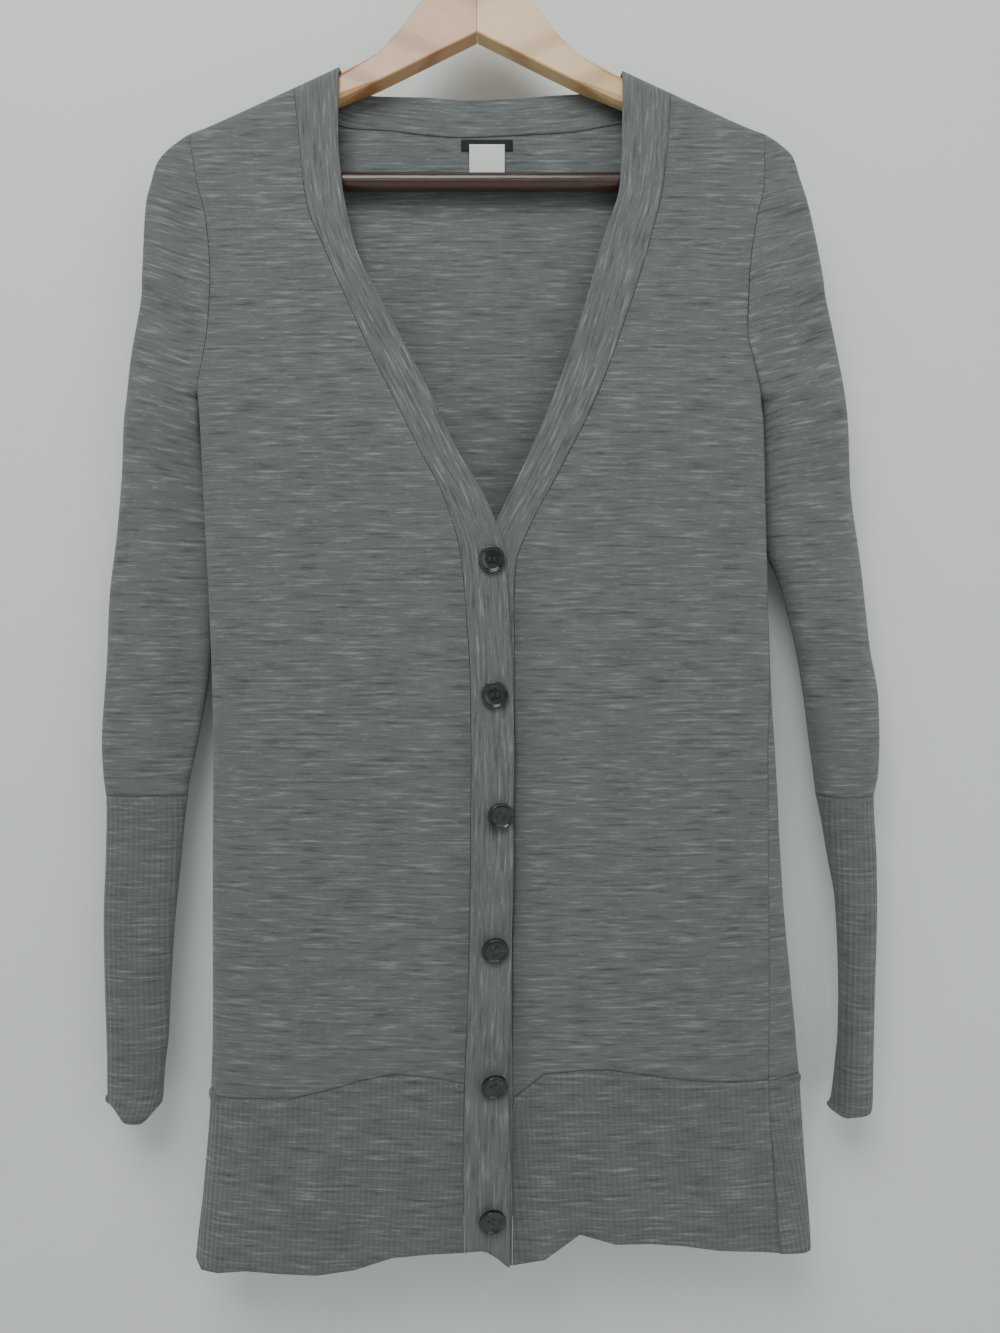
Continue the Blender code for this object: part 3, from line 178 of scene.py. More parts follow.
# The front bands by height: where the seam and the free edge run.
RIGHT_BAND = Table(
    "z seam free",
    [
        (-0.1261, -0.1172, -0.0884),
        (-0.1396, -0.1170, -0.0885),
        (-0.1698, -0.1140, -0.0887),
        (-0.2018, -0.1111, -0.0864),
        (-0.2178, -0.1086, -0.0838),
        (-0.2466, -0.0970, -0.0766),
        (-0.2790, -0.0828, -0.0605),
        (-0.3113, -0.0680, -0.0437),
        (-0.3434, -0.0519, -0.0271),
        (-0.3757, -0.0358, -0.0117),
        (-0.4080, -0.0198, 0.0067),
        (-0.4440, -0.0097, 0.0187),
        (-0.4712, -0.0071, 0.0200),
        (-0.5217, -0.0039, 0.0231),
        (-0.5720, -0.0033, 0.0238),
        (-0.7220, -0.0051, 0.0218),
        (-0.7721, -0.0070, 0.0200),
        (-0.8341, -0.0082, 0.0212),
        (-0.8900, -0.0069, 0.0212),
    ],
)
LEFT_BAND = Table(
    "z seam free",
    [
        (-0.1287, 0.1243, 0.0936),
        (-0.1429, 0.1242, 0.0935),
        (-0.2018, 0.1199, 0.0918),
        (-0.2402, 0.1110, 0.0805),
        (-0.2918, 0.0948, 0.0661),
        (-0.3434, 0.0755, 0.0478),
        (-0.3884, 0.0530, 0.0283),
        (-0.4267, 0.0327, 0.0100),
        (-0.4488, 0.0250, 0.0025),
        (-0.4712, 0.0240, -0.0005),
        (-0.5217, 0.0240, -0.0015),
        (-0.7220, 0.0226, -0.0020),
        (-0.7800, 0.0232, -0.0024),
        (-0.8900, 0.0226, -0.0024),
    ],
)
BANDS = {RIGHT: RIGHT_BAND, LEFT: LEFT_BAND}
BAND_LEVEL_Z = -0.215  # above this the band's rows slant up to the shoulder line

# The neckband round the back neck: its seam on the back and its free edge.
NECKBAND = Table(
    "seam_x seam_z free_x free_z",
    [
        (-0.1170, -0.1396, -0.0884, -0.1262),
        (-0.1150, -0.1409, -0.0880, -0.1284),
        (-0.1110, -0.1442, -0.0866, -0.1308),
        (-0.1044, -0.1494, -0.0832, -0.1330),
        (-0.0834, -0.1585, -0.0687, -0.1372),
        (-0.0583, -0.1600, -0.0500, -0.1378),
        (-0.0392, -0.1624, -0.0340, -0.1381),
        (-0.0108, -0.1644, -0.0080, -0.1399),
        (0.0235, -0.1631, 0.0200, -0.1392),
        (0.0605, -0.1611, 0.0500, -0.1369),
        (0.0850, -0.1570, 0.0700, -0.1357),
        (0.1068, -0.1530, 0.0880, -0.1336),
        (0.1180, -0.1472, 0.0918, -0.1323),
        (0.1222, -0.1442, 0.0932, -0.1306),
        (0.1242, -0.1429, 0.0936, -0.1287),
    ],
)

# The hem seam and the bottom edge of the fronts, and of the back from its right to its left
# side seam, which dip and rise because the knit has relaxed unevenly.
HEM_SEAM = Table(
    "x z",
    [
        (-0.172, -0.7840),
        (-0.167, -0.7890),
        (-0.146, -0.7876),
        (-0.113, -0.7863),
        (-0.083, -0.7769),
        (-0.043, -0.7693),
        (-0.017, -0.7731),
        (-0.007, -0.7748),
        (0.023, -0.7850),
        (0.032, -0.7813),
        (0.043, -0.7699),
        (0.079, -0.7674),
        (0.121, -0.7731),
        (0.145, -0.7756),
        (0.186, -0.7765),
        (0.208, -0.7742),
    ],
)
HEM_EDGE = Table(
    "x z",
    [
        (-0.182, -0.8930),
        (-0.176, -0.8990),
        (-0.141, -0.8953),
        (-0.119, -0.8966),
        (-0.078, -0.8935),
        (-0.067, -0.8916),
        (-0.045, -0.8815),
        (-0.008, -0.8796),
        (0.004, -0.8785),
        (0.012, -0.8823),
        (0.022, -0.8890),
        (0.040, -0.8865),
        (0.053, -0.8734),
        (0.060, -0.8690),
        (0.073, -0.8740),
        (0.127, -0.8778),
        (0.170, -0.8832),
        (0.193, -0.8862),
        (0.217, -0.8892),
    ],
)
BACK_HEM = Table(
    "part seam_z edge_z",
    [
        (0.00, -0.7840, -0.8930),
        (0.15, -0.7810, -0.8850),
        (0.40, -0.7840, -0.8800),
        (0.70, -0.7790, -0.8830),
        (0.94, -0.7742, -0.8892),
        (1.00, -0.7765, -0.8862),
    ],
)

# The sleeves: the silhouette's distance from the middle, the inner edge below the underarm,
# the depth at which they hang behind the body and half their depth.
SLEEVE = {
    RIGHT: Table(
        "z outer inner centre_y half_depth",
        [
            (-0.1690, 0.1846, 0.1846, 0.0000, 0.0000),
            (-0.1736, 0.1918, 0.1830, 0.0000, 0.0000),
            (-0.1807, 0.2015, 0.1820, 0.0000, 0.0000),
            (-0.1879, 0.2074, 0.1820, 0.0000, 0.0000),
            (-0.2002, 0.2113, 0.1800, 0.0000, 0.0000),
            (-0.2132, 0.2145, 0.1780, 0.0000, 0.0005),
            (-0.2685, 0.2178, 0.1780, 0.0002, 0.0030),
            (-0.3127, 0.2257, 0.1790, 0.0020, 0.0055),
            (-0.3367, 0.2288, 0.1817, 0.0040, 0.0088),
            (-0.3515, 0.2311, 0.1820, 0.0056, 0.0100),
            (-0.3897, 0.2352, 0.1790, 0.0120, 0.0105),
            (-0.4292, 0.2399, 0.1760, 0.0150, 0.0105),
            (-0.4690, 0.2447, 0.1756, 0.0155, 0.0105),
            (-0.5089, 0.2463, 0.1776, 0.0155, 0.0105),
            (-0.5354, 0.2480, 0.1809, 0.0150, 0.0105),
            (-0.5620, 0.2493, 0.1856, 0.0145, 0.0105),
            (-0.5852, 0.2480, 0.1905, 0.0140, 0.0100),
            (-0.5985, 0.2462, 0.1927, 0.0140, 0.0092),
        ],
    ),
    LEFT: Table(
        "z outer inner centre_y half_depth",
        [
            (-0.1690, 0.1850, 0.1850, 0.0000, 0.0000),
            (-0.1762, 0.1963, 0.1830, 0.0000, 0.0000),
            (-0.1840, 0.2048, 0.1820, 0.0000, 0.0000),
            (-0.1957, 0.2087, 0.1820, 0.0000, 0.0000),
            (-0.2132, 0.2145, 0.1800, 0.0000, 0.0005),
            (-0.2392, 0.2203, 0.1800, 0.0000, 0.0020),
            (-0.2710, 0.2262, 0.1800, 0.0004, 0.0045),
            (-0.2997, 0.2327, 0.1800, 0.0014, 0.0055),
            (-0.3318, 0.2393, 0.1845, 0.0040, 0.0095),
            (-0.3400, 0.2408, 0.1852, 0.0052, 0.0110),
            (-0.3510, 0.2426, 0.1876, 0.0070, 0.0125),
            (-0.4030, 0.2480, 0.1875, 0.0155, 0.0140),
            (-0.4392, 0.2535, 0.1929, 0.0165, 0.0145),
            (-0.4524, 0.2550, 0.1990, 0.0160, 0.0145),
            (-0.4757, 0.2572, 0.2062, 0.0155, 0.0150),
            (-0.5022, 0.2600, 0.2122, 0.0150, 0.0155),
            (-0.5354, 0.2653, 0.2175, 0.0145, 0.0160),
            (-0.5620, 0.2659, 0.2208, 0.0145, 0.0160),
            (-0.5819, 0.2653, 0.2235, 0.0145, 0.0155),
            (-0.5985, 0.2622, 0.2254, 0.0145, 0.0140),
        ],
    ),
}
SLEEVE_ROWS_BELOW = (-0.3560, -0.3850, -0.4200, -0.4600, -0.5040, -0.5440, -0.5800, -0.5985)
CUFF = {
    RIGHT: Table(
        "z outer inner centre_y half_depth",
        [
            (-0.5985, 0.2462, 0.1927, 0.0140, 0.0092),
            (-0.6100, 0.2460, 0.1940, 0.0140, 0.0085),
            (-0.6417, 0.2467, 0.1969, 0.0140, 0.0080),
            (-0.6815, 0.2480, 0.2009, 0.0140, 0.0078),
            (-0.7214, 0.2473, 0.2035, 0.0140, 0.0078),
            (-0.7612, 0.2460, 0.2055, 0.0140, 0.0078),
            (-0.7811, 0.2455, 0.2082, 0.0140, 0.0082),
            (-0.8020, 0.2453, 0.2101, 0.0140, 0.0086),
        ],
    ),
    LEFT: Table(
        "z outer inner centre_y half_depth",
        [
            (-0.5985, 0.2622, 0.2254, 0.0145, 0.0140),
            (-0.6100, 0.2626, 0.2280, 0.0145, 0.0132),
            (-0.6417, 0.2643, 0.2334, 0.0145, 0.0124),
            (-0.6682, 0.2646, 0.2381, 0.0145, 0.0122),
            (-0.7346, 0.2628, 0.2407, 0.0145, 0.0124),
            (-0.7612, 0.2622, 0.2400, 0.0145, 0.0126),
            (-0.7878, 0.2616, 0.2361, 0.0145, 0.0126),
            (-0.8020, 0.2604, 0.2327, 0.0145, 0.0126),
        ],
    ),
}
CUFF_ROWS = (-0.5985, -0.6150, -0.6500, -0.6900, -0.7300, -0.7700, -0.8020)
# The uneven bottom edge of each cuff, from its outer to its inner side.
CUFF_EDGE = {
    RIGHT: Table(
        "part z",
        [(0.0, -0.7984), (0.2, -0.8050), (0.42, -0.8135), (0.65, -0.8140), (1.0, -0.8030)],
    ),
    LEFT: Table("part z", [(0.0, -0.8070), (0.4, -0.8075), (0.7, -0.8080), (1.0, -0.8040)]),
}

# The largest folds: a crease that runs down from (top_x, top_z) to (low_x, low_z), how wide it
# is and how far it sinks into the front of the sleeve, or stands up where that is negative.
SLEEVE_FOLDS = {
    RIGHT: (
        dict(top=(0.1900, -0.212), low=(0.1860, -0.352), width=0.0100, sink=0.0040),
        dict(top=(0.1860, -0.352), low=(0.1950, -0.590), width=0.0110, sink=0.0035),
        dict(top=(0.2165, -0.300), low=(0.2150, -0.590), width=0.0110, sink=-0.0020),
    ),
    LEFT: (
        dict(top=(0.1990, -0.212), low=(0.2140, -0.330), width=0.0100, sink=0.0040),
        dict(top=(0.2140, -0.330), low=(0.2250, -0.540), width=0.0110, sink=0.0030),
        dict(top=(0.2360, -0.300), low=(0.2560, -0.590), width=0.0090, sink=-0.0020),
    ),
}

# Pocket bags on the inside of the fronts: where the bag's inner outline runs, by height.
BAG = {
    RIGHT: Table(
        "z inner",
        [
            (-0.5560, 0.1350),
            (-0.5650, 0.1159),
            (-0.5916, 0.0877),
            (-0.6257, 0.0663),
            (-0.6540, 0.0606),
            (-0.7680, 0.0618),
        ],
    ),
    LEFT: Table(
        "z inner",
        [
            (-0.5560, 0.1450),
            (-0.5640, 0.1300),
            (-0.5923, 0.1038),
            (-0.6156, 0.0880),
            (-0.6400, 0.0822),
            (-0.7640, 0.0816),
        ],
    ),
}
BAG_OUTER = {RIGHT: 0.1570, LEFT: 0.1740}
BAG_ROWS = (-0.5560, -0.5640, -0.5800, -0.5980, -0.6200, -0.6500, -0.7050, -0.7640)

# Buttons from top to bottom: place on the right band, how far the disc droops and which way
# the droop is turned, both in degrees.
BUTTONS = (
    dict(x=0.0099, z=-0.4457, droop=4, turn=0, slit=45),
    dict(x=0.0118, z=-0.5310, droop=4, turn=0, slit=0),
    dict(x=0.0150, z=-0.6066, droop=20, turn=60, slit=0),
    dict(x=0.0118, z=-0.6898, droop=20, turn=25, slit=0),
    dict(x=0.0112, z=-0.7741, droop=24, turn=30, slit=0),
    dict(x=0.0100, z=-0.8575, droop=20, turn=30, slit=0),
)


# ---- the skin that the knitted pieces are cut from -------------------------------------------
def bulge(part, exponent):
    """How deep a flattened ring still is, from 1 at its middle to 0 at its edge."""
    return (1 - np.clip(part, 0, 1) ** exponent) ** (1 / exponent)


def smooth_step(low, high, value):
    t = np.clip((value - low) / (high - low), 0, 1)
    return t * t * (3 - 2 * t)


def half_width(side, z):
    return TORSO.at("right_edge" if side == RIGHT else "left_edge", z)


def side_seam(side, z):
    return TORSO.at("right_seam" if side == RIGHT else "left_seam", z)


def shoulder_turn(x, z):
    """The cloth turns over the hanger at the shoulder line, and hangs straight below it."""
    shoulder_z = SHOULDER.at("z", abs(x))
    return bulge(1 - (shoulder_z - z) / SHOULDER_ROUND, BODY_ROUNDNESS)


def lap(x, z):
    """The right front stands before the left one where its band lies on the other band."""
    return LAP * smooth_step(0.360, 0.402, -z) * smooth_step(-0.048, -0.020, x)


def body_y(side, face, x, z):
    """The depth of the body's outside at a place, side and face being signs."""
    x, z = np.asarray(x, dtype=float), np.asarray(z, dtype=float)
    width = np.where(x < 0, half_width(RIGHT, z), half_width(LEFT, z))
    depth = TORSO.at("front_depth" if face == FRONT else "back_depth", z)
    y = face * depth * bulge(abs(x) / width, BODY_ROUNDNESS) * shoulder_turn(x, z)
    if side == RIGHT and face == FRONT:
        y = y - lap(x, z)
    return y


def body_point(side, face, x, z):
    return np.array([x, body_y(side, face, x, z), z])


def ring_sweep(side, face, z_from, z_to, x_from, x_to, count=60):
    """A run along the body's ring between two distances from the middle, as places."""
    exponent = BODY_ROUNDNESS
    angle_from = math.asin(min(1, x_from / half_width(side, z_from)) ** (exponent / 2))
    angle_to = math.asin(min(1, x_to / half_width(side, z_to)) ** (exponent / 2))
    angle = np.linspace(angle_from, angle_to, count)
    z = np.linspace(z_from, z_to, count)
    for _ in range(4):
        x = half_width(side, z) * np.sin(angle) ** (2 / exponent)
        x[0], x[-1] = x_from, x_to
        if x_from != x_to:
            z = z_from + (z_to - z_from) * (x - x_from) / (x_to - x_from)
    depth = TORSO.at("front_depth" if face == FRONT else "back_depth", z)
    y = face * depth * np.clip(np.cos(angle), 0, 1) ** (2 / exponent) * shoulder_turn(x, z)
    if side == RIGHT and face == FRONT:
        y = y - lap(-x, z)
    return np.stack([side * x, y, z], axis=1)


def spaced(run, parts):
    """Points at these parts of a run's length, its ends kept exactly."""
    length = np.linalg.norm(np.diff(run, axis=0), axis=1)
    along = np.concatenate([[0], np.cumsum(length)])
    if along[-1] < 1e-9:
        return np.repeat(run[:1], len(parts), axis=0)
    where = np.array(parts) * along[-1]
    points = np.stack([np.interp(where, along, run[:, k]) for k in range(3)], axis=1)
    points[0], points[-1] = run[0], run[-1]
    return points


FRONT_PARTS = (0, 0.12, 0.25, 0.38, 0.51, 0.64, 0.76, 0.86, 0.93, 0.97, 0.99, 1)


def front_row(side, side_z, inner_z):
    seam_x = float(BANDS[side].at("seam", inner_z))
    run = ring_sweep(side, FRONT, inner_z, side_z, abs(seam_x), float(side_seam(side, side_z)))
    run[0] = body_point(side, FRONT, seam_x, inner_z)
    return spaced(run, FRONT_PARTS)


# How far each of the back's top rows follows the shoulder line and the neck seam.
BACK_RISE = (1, 1, 1, 0.85, 0.66, 0.47, 0.30, 0.14)
BACK_SHOULDER = (0, 0.008, 0.025, 0.055, 0.10, 0.14)
BACK_SHOULDER_END = (0.88, 0.92, 0.955, 0.98, 0.993, 1)


LEVELS_TIP = {side: float(side_seam(side, -0.1690)) for side in (RIGHT, LEFT)}


def back_top_z(x):
    """The top edge of the back: the shoulder line, and between them the neckband's seam."""
    inside = (x > NECKBAND.key[0]) & (x < NECKBAND.key[-1])
    return np.where(inside, NECKBAND.at("seam_z", x), SHOULDER.at("z", abs(x)))


def back_run(right_z, left_z, wraps):
    """The back's ring from the right seam round to the left one, on the front where it wraps."""
    middle_z = 0.5 * (right_z + left_z)
    right_x = float(side_seam(RIGHT, right_z))
    left_x = float(side_seam(LEFT, left_z))
    if not wraps:
        first = ring_sweep(RIGHT, BACK, right_z, middle_z, right_x, 0)
        second = ring_sweep(LEFT, BACK, middle_z, left_z, 0, left_x)
        return np.concatenate([first, second[1:]])
    right_edge = float(half_width(RIGHT, right_z))
    left_edge = float(half_width(LEFT, left_z))
    first = ring_sweep(RIGHT, BACK, right_z, middle_z, right_edge, 0)
    second = ring_sweep(LEFT, BACK, middle_z, left_z, 0, left_edge)
    third = ring_sweep(LEFT, FRONT, left_z, left_z, left_edge, left_x)
    return np.concatenate([first, second[1:], third[1:]])


FOLD_FADE = 0.12  # the part of a fold's length over which each end dies away


def sleeve_folds(side, distance, z):
    """How far the sleeve's creases push its front back at a place."""
    push = np.zeros_like(distance)
    for fold in SLEEVE_FOLDS[side]:
        (top_x, top_z), (low_x, low_z) = fold["top"], fold["low"]
        down = np.clip((top_z - z) / (top_z - low_z), 0, 1)
        centre = top_x + (low_x - top_x) * down
        fade = smooth_step(0.0, FOLD_FADE, down) * smooth_step(0.0, FOLD_FADE, 1 - down)
        push += fold["sink"] * fade * np.exp(-(((distance - centre) / fold["width"]) ** 2))
    return push


def tube_row(side, table, z, seam=None):
    """A ring of a sleeve or cuff from its inner front, round the outside, to its inner back.

    Above the underarm it is open: seam gives the armhole's distance and its two depths.
    """
    outer = float(table.at("outer", z))
    centre_y = float(table.at("centre_y", z))
    half_depth = float(table.at("half_depth", z))
    inner = float(table.at("inner", z)) if seam is None else seam[0]
    angle = np.linspace(0, math.pi, SLEEVE_AROUND // 2 + 1)
    distance = 0.5 * (inner + outer) - 0.5 * (outer - inner) * np.cos(angle)
    thick = half_depth * np.clip(np.sin(angle), 0, 1) ** (2 / SLEEVE_ROUNDNESS)
    near = float(smooth_step(0.262, 0.335, -z))
    share = np.clip(np.cos(angle / 2), 0, 1) ** (2 / CAP_ROUNDNESS + 14 * near)
    front = centre_y - thick
    back = centre_y + thick
    if seam is not None:
        front = front + (seam[1] - centre_y) * share
        back = back + (seam[2] - centre_y) * share
    inside = np.clip(np.sin(angle), 0, 1) ** 0.5
    front = front + sleeve_folds(side, distance, z) * inside
    back = back - 0.5 * sleeve_folds(side, distance, z) * inside
    front_half = np.stack([side * distance, front, np.full_like(distance, z)], axis=1)
    back_half = np.stack([side * distance, back, np.full_like(distance, z)], axis=1)
    return np.concatenate([front_half, back_half[-2::-1]])


# ---- walls from the skin ---------------------------------------------------------------------
def place(point):
    """A point's key, so that pieces that meet in it share its normal."""
    return tuple(int(value) for value in np.floor(np.asarray(point) * 1e5 + 0.37))


def on_shoulder_line(point):
    return point[1] == 0 and abs(point[2] - float(SHOULDER.at("z", abs(point[0])))) < 0.0006


def shoulder_normal(x):
    """The way that the cloth faces along the top of the hanger: up, and away from the neck."""
    step = 0.0005
    slope = float(SHOULDER.at("z", abs(x) + step) - SHOULDER.at("z", abs(x) - step)) / (2 * step)
    return np.array([-slope * np.sign(x), 0.0, 1.0])


def edge_pull(vertex, gap):
    """The move that takes a point on an edge of the cloth back from the seam by half the gap."""
    pulls = []
    for edge in vertex.link_edges:
        if len(edge.link_faces) == 1:
            face = edge.link_faces[0]
            along = (edge.verts[1].co - edge.verts[0].co).normalized()
            inward = face.calc_center_median() - edge.verts[0].co
            inward = (inward - along * inward.dot(along)).normalized()
            pulls.append(inward)
    if not pulls:
        return Vector((0, 0, 0))
    if len(pulls) == 1:
        return pulls[0] * gap / 2
    total = pulls[0] + pulls[1]
    return total * (gap / 2) / max(0.35, 1 + pulls[0].dot(pulls[1]))


def face_normal(side, face, x, z):
    """The outward normal of the body at a place, from small steps along it."""
    step = 0.0005
    slope_x = (body_y(side, face, x + step, z) - body_y(side, face, x - step, z)) / (2 * step)
    slope_z = (body_y(side, face, x, z + step) - body_y(side, face, x, z - step)) / (2 * step)
    return Vector((float(-slope_x), 1.0, float(-slope_z))).normalized() * face


def patch_behind(side, face, xs, zs, depth):
    """A grid of points that lies this deep inside the body's skin."""
    rows = []
    for z, row_x in zip(zs, xs):
        row = []
        for x in row_x:
            point = Vector(body_point(side, face, x, z)) - face_normal(side, face, x, z) * depth
            row.append(tuple(point))
        rows.append(row)
    return np.array(rows)


# ---- finer rows and columns -------------------------------------------------------------------
def refine(values, count):
    """The values with this many equal steps between each two."""
    values = np.asarray(values, dtype=float)
    steps = np.arange(count) / count
    fine = [values[i] + steps * (values[i + 1] - values[i]) for i in range(len(values) - 1)]
    return np.append(np.concatenate(fine), values[-1])


TURN_ROWS = (0, 0.12, 0.35, 0.65)  # rows over the turn of the shoulder
SEAM_ROWS = (21.86, 21.91, 21.94, 21.97, 22)  # rows close above the hem seam
FINE_ROWS = np.array([*TURN_ROWS, *refine(range(1, 22), 9)[:-1], *refine((21, 21.82), 16), *SEAM_ROWS])
HEM_SEAM_ROWS = HEM_Z - np.array([0, 0.0015, 0.003, 0.005, 0.0075, 0.010])
FINE_HEM = np.append(HEM_SEAM_ROWS, np.linspace(-0.7935, HEM_ROWS[-1], 38))
FINE_BAND = (0, 0.05, 0.14, 0.25, 0.37, 0.5, 0.63, 0.75, 0.86, 0.94, 0.98, 1)
FINE_NECK = refine(NECKBAND.key, 6)
HEM_DROP_ROWS = (20, 21, 22)
HEM_DROP = (0.0, 0.35, 1.0)
SLEEVE_AROUND = 72
BACK_RISE_ROWS = range(9)
BACK_RISE = (*BACK_RISE, 0.0)


def hem_drop(i):
    """How far a level follows the unevenness of the hem seam."""
    return float(np.interp(i, HEM_DROP_ROWS, HEM_DROP))


def level_side_z(side, i):
    """The height of a level at the side, which is the underarm itself on its own row."""
    table_z = float(LEVELS.at("side_z", i))
    shift = UNDERARM_Z[side] - float(LEVELS.at("side_z", UNDERARM_ROW))
    return table_z + shift * max(0.0, 1 - abs(i - UNDERARM_ROW))


def turned(side, face, first, second, i):
    """A row between the shoulder line and the first level under it, on the turn of the cloth."""
    row = first + (second - first) * i
    row[:, 1] = body_y(side, face, row[:, 0], row[:, 2])
    return row


def front_level(side, i):
    inner_name = "right_z" if side == RIGHT else "left_z"
    row = front_row(side, level_side_z(side, i), float(LEVELS.at(inner_name, i)))
    row[:, 2] += hem_drop(i) * (HEM_SEAM.at("z", row[:, 0]) - HEM_Z)
    if i == 0:
        row[:, 1] = 0
        row[:, 2] = SHOULDER.at("z", abs(row[:, 0]))
    return row


def front_panel(side):
    """A front from the shoulder to the hem seam."""
    rows = []
    for i in FINE_ROWS:
        if 0 < i < 1:
            rows.append(turned(side, FRONT, front_level(side, 0), front_level(side, 1), i))
        else:
            rows.append(front_level(side, i))
    return np.array(rows)


def back_parts():
    """The back's columns: the neckband's own stations, with more towards the sides."""
    span = LEVELS_TIP[LEFT] + LEVELS_TIP[RIGHT]
    neck = (FINE_NECK + LEVELS_TIP[RIGHT]) / span
    first = refine((*BACK_SHOULDER, neck[0]), 4)[:-1]
    last = refine((neck[-1], *BACK_SHOULDER_END), 4)[1:]
    return np.array([*first, *neck, *last])


def back_level(i):
    parts = back_parts()
    right_z, left_z = level_side_z(RIGHT, i), level_side_z(LEFT, i)
    row = spaced(back_run(right_z, left_z, i > UNDERARM_ROW), parts)
    rise = float(np.interp(i, BACK_RISE_ROWS, BACK_RISE))
    top = parts * (LEVELS_TIP[LEFT] + LEVELS_TIP[RIGHT]) - LEVELS_TIP[RIGHT]
    if i == 0:
        row = np.stack([top, body_y(LEFT, BACK, top, back_top_z(top)), back_top_z(top)], axis=1)
        row[(top < NECKBAND.key[0]) | (top > NECKBAND.key[-1]), 1] = 0
    elif rise:
        shoulder_tip_z = float(SHOULDER.at("z", LEVELS_TIP[LEFT]))
        row[1:-1, 2] += rise * (back_top_z(row[1:-1, 0]) - shoulder_tip_z)
        row[1:-1, 1] = body_y(LEFT, BACK, row[1:-1, 0], row[1:-1, 2])
    row[:, 2] += hem_drop(i) * (BACK_HEM.at("seam_z", parts) - HEM_Z)
    return row


def back_panel():
    rows = []
    for i in FINE_ROWS:
        if 0 < i < 1:
            rows.append(turned(LEFT, BACK, back_level(0), back_level(1), i))
        else:
            rows.append(back_level(i))
    return np.array(rows)


def hem_front(side):
    """A front's hem band, from the hem seam to the uneven bottom edge."""
    rows = []
    for z in FINE_HEM:
        down = (HEM_Z - z) / (HEM_Z - HEM_ROWS[-1])
        row = front_row(side, z, z)
        seam_z = HEM_SEAM.at("z", row[:, 0])
        row[:, 2] = seam_z + down * (HEM_EDGE.at("z", row[:, 0]) - seam_z)
        rows.append(row)
    return np.array(rows)


def hem_back():
    parts = back_parts()
    rows = []
    for z in FINE_HEM:
        down = (HEM_Z - z) / (HEM_Z - HEM_ROWS[-1])
        row = spaced(back_run(z, z, True), parts)
        seam_z = BACK_HEM.at("seam_z", parts)
        row[:, 2] = seam_z + down * (BACK_HEM.at("edge_z", parts) - seam_z)
        rows.append(row)
    return np.array(rows)


def band_row(side, seam_z, top_z):
    """A row of a front band from its seam to its free edge, slanted near the shoulder."""
    table = BANDS[side]
    across = np.array(FINE_BAND)
    seam_x = float(table.at("seam", seam_z))
    rise = (top_z - float(table.key[-1])) * smooth_step(BAND_LEVEL_Z, top_z, seam_z)
    free_z = seam_z - rise
    free_x = float(table.at("free", free_z))
    x = seam_x + across * (free_x - seam_x)
    z = seam_z + across * (free_z - seam_z)
    return np.stack([x, body_y(side, FRONT, x, z), z], axis=1)


def front_band(side):
    """A front band from the shoulder to the bottom edge, its seam on the front's own points."""
    inner_name = "right_z" if side == RIGHT else "left_z"
    top_z = float(LEVELS.at(inner_name, 0))
    rows = []
    for i in FINE_ROWS:
        row = band_row(side, float(LEVELS.at(inner_name, i)), top_z)
        row[:, 2] += hem_drop(i) * (float(HEM_SEAM.at("z", row[0, 0])) - HEM_Z)
        if i == 0:
            row[:, 1] = 0
        rows.append(row)
    for z in FINE_HEM[1:]:
        row = band_row(side, z, top_z)
        down = (HEM_Z - z) / (HEM_Z - HEM_ROWS[-1])
        seam_line = float(HEM_SEAM.at("z", row[0, 0]))
        row[:, 2] = seam_line + down * (HEM_EDGE.at("z", row[:, 0]) - seam_line)
        rows.append(row)
    return np.array(rows)


def neckband():
    """The strip round the back neck, from the seam on the back to its free edge."""
    across = np.array(FINE_BAND)
    rows = []
    for seam_x in FINE_NECK:
        seam_z, free_x, free_z = (float(NECKBAND.at(n, seam_x)) for n in ("seam_z", "free_x", "free_z"))
        x = seam_x + across * (free_x - seam_x)
        z = seam_z + across * (free_z - seam_z)
        y = body_y(LEFT, BACK, x, z)
        if seam_x in (FINE_NECK[0], FINE_NECK[-1]):
            y = y * 0
        rows.append(np.stack([x, y, z], axis=1))
    return np.array(rows)[::-1]


def sleeve(side):
    rows = []
    for i in FINE_ROWS[(FINE_ROWS == 0) | (FINE_ROWS >= 1)]:
        if i >= UNDERARM_ROW:
            break
        z = level_side_z(side, i)
        seam_x = float(side_seam(side, z))
        front_y = 0.0 if i == 0 else float(body_y(side, FRONT, side * seam_x, z))
        back_y = 0.0 if i == 0 else float(body_y(side, BACK, side * seam_x, z))
        row = tube_row(side, SLEEVE[side], z, (seam_x, front_y, back_y))
        if i == 0:
            row[:] = (side * seam_x, 0.0, float(SHOULDER.at("z", seam_x)))
        else:
            row[0] = body_point(side, FRONT, side * seam_x, z)
            row[-1] = body_point(side, BACK, side * seam_x, z)
        rows.append(row)
    for z in np.linspace(UNDERARM_Z[side], SLEEVE_ROWS_BELOW[-1], 96):
        rows.append(tube_row(side, SLEEVE[side], z))
    return np.array(rows)


def cuff(side):
    rows = []
    for z in np.linspace(CUFF_ROWS[0], CUFF_ROWS[-1], 84):
        row = tube_row(side, CUFF[side], z)
        distance = abs(row[:, 0])
        part = (distance.max() - distance) / (distance.max() - distance.min())
        down = smooth_step(0.770, 0.802, -z)
        row[:, 2] += down * (CUFF_EDGE[side].at("z", part) - z)
        rows.append(row)
    return np.array(rows)


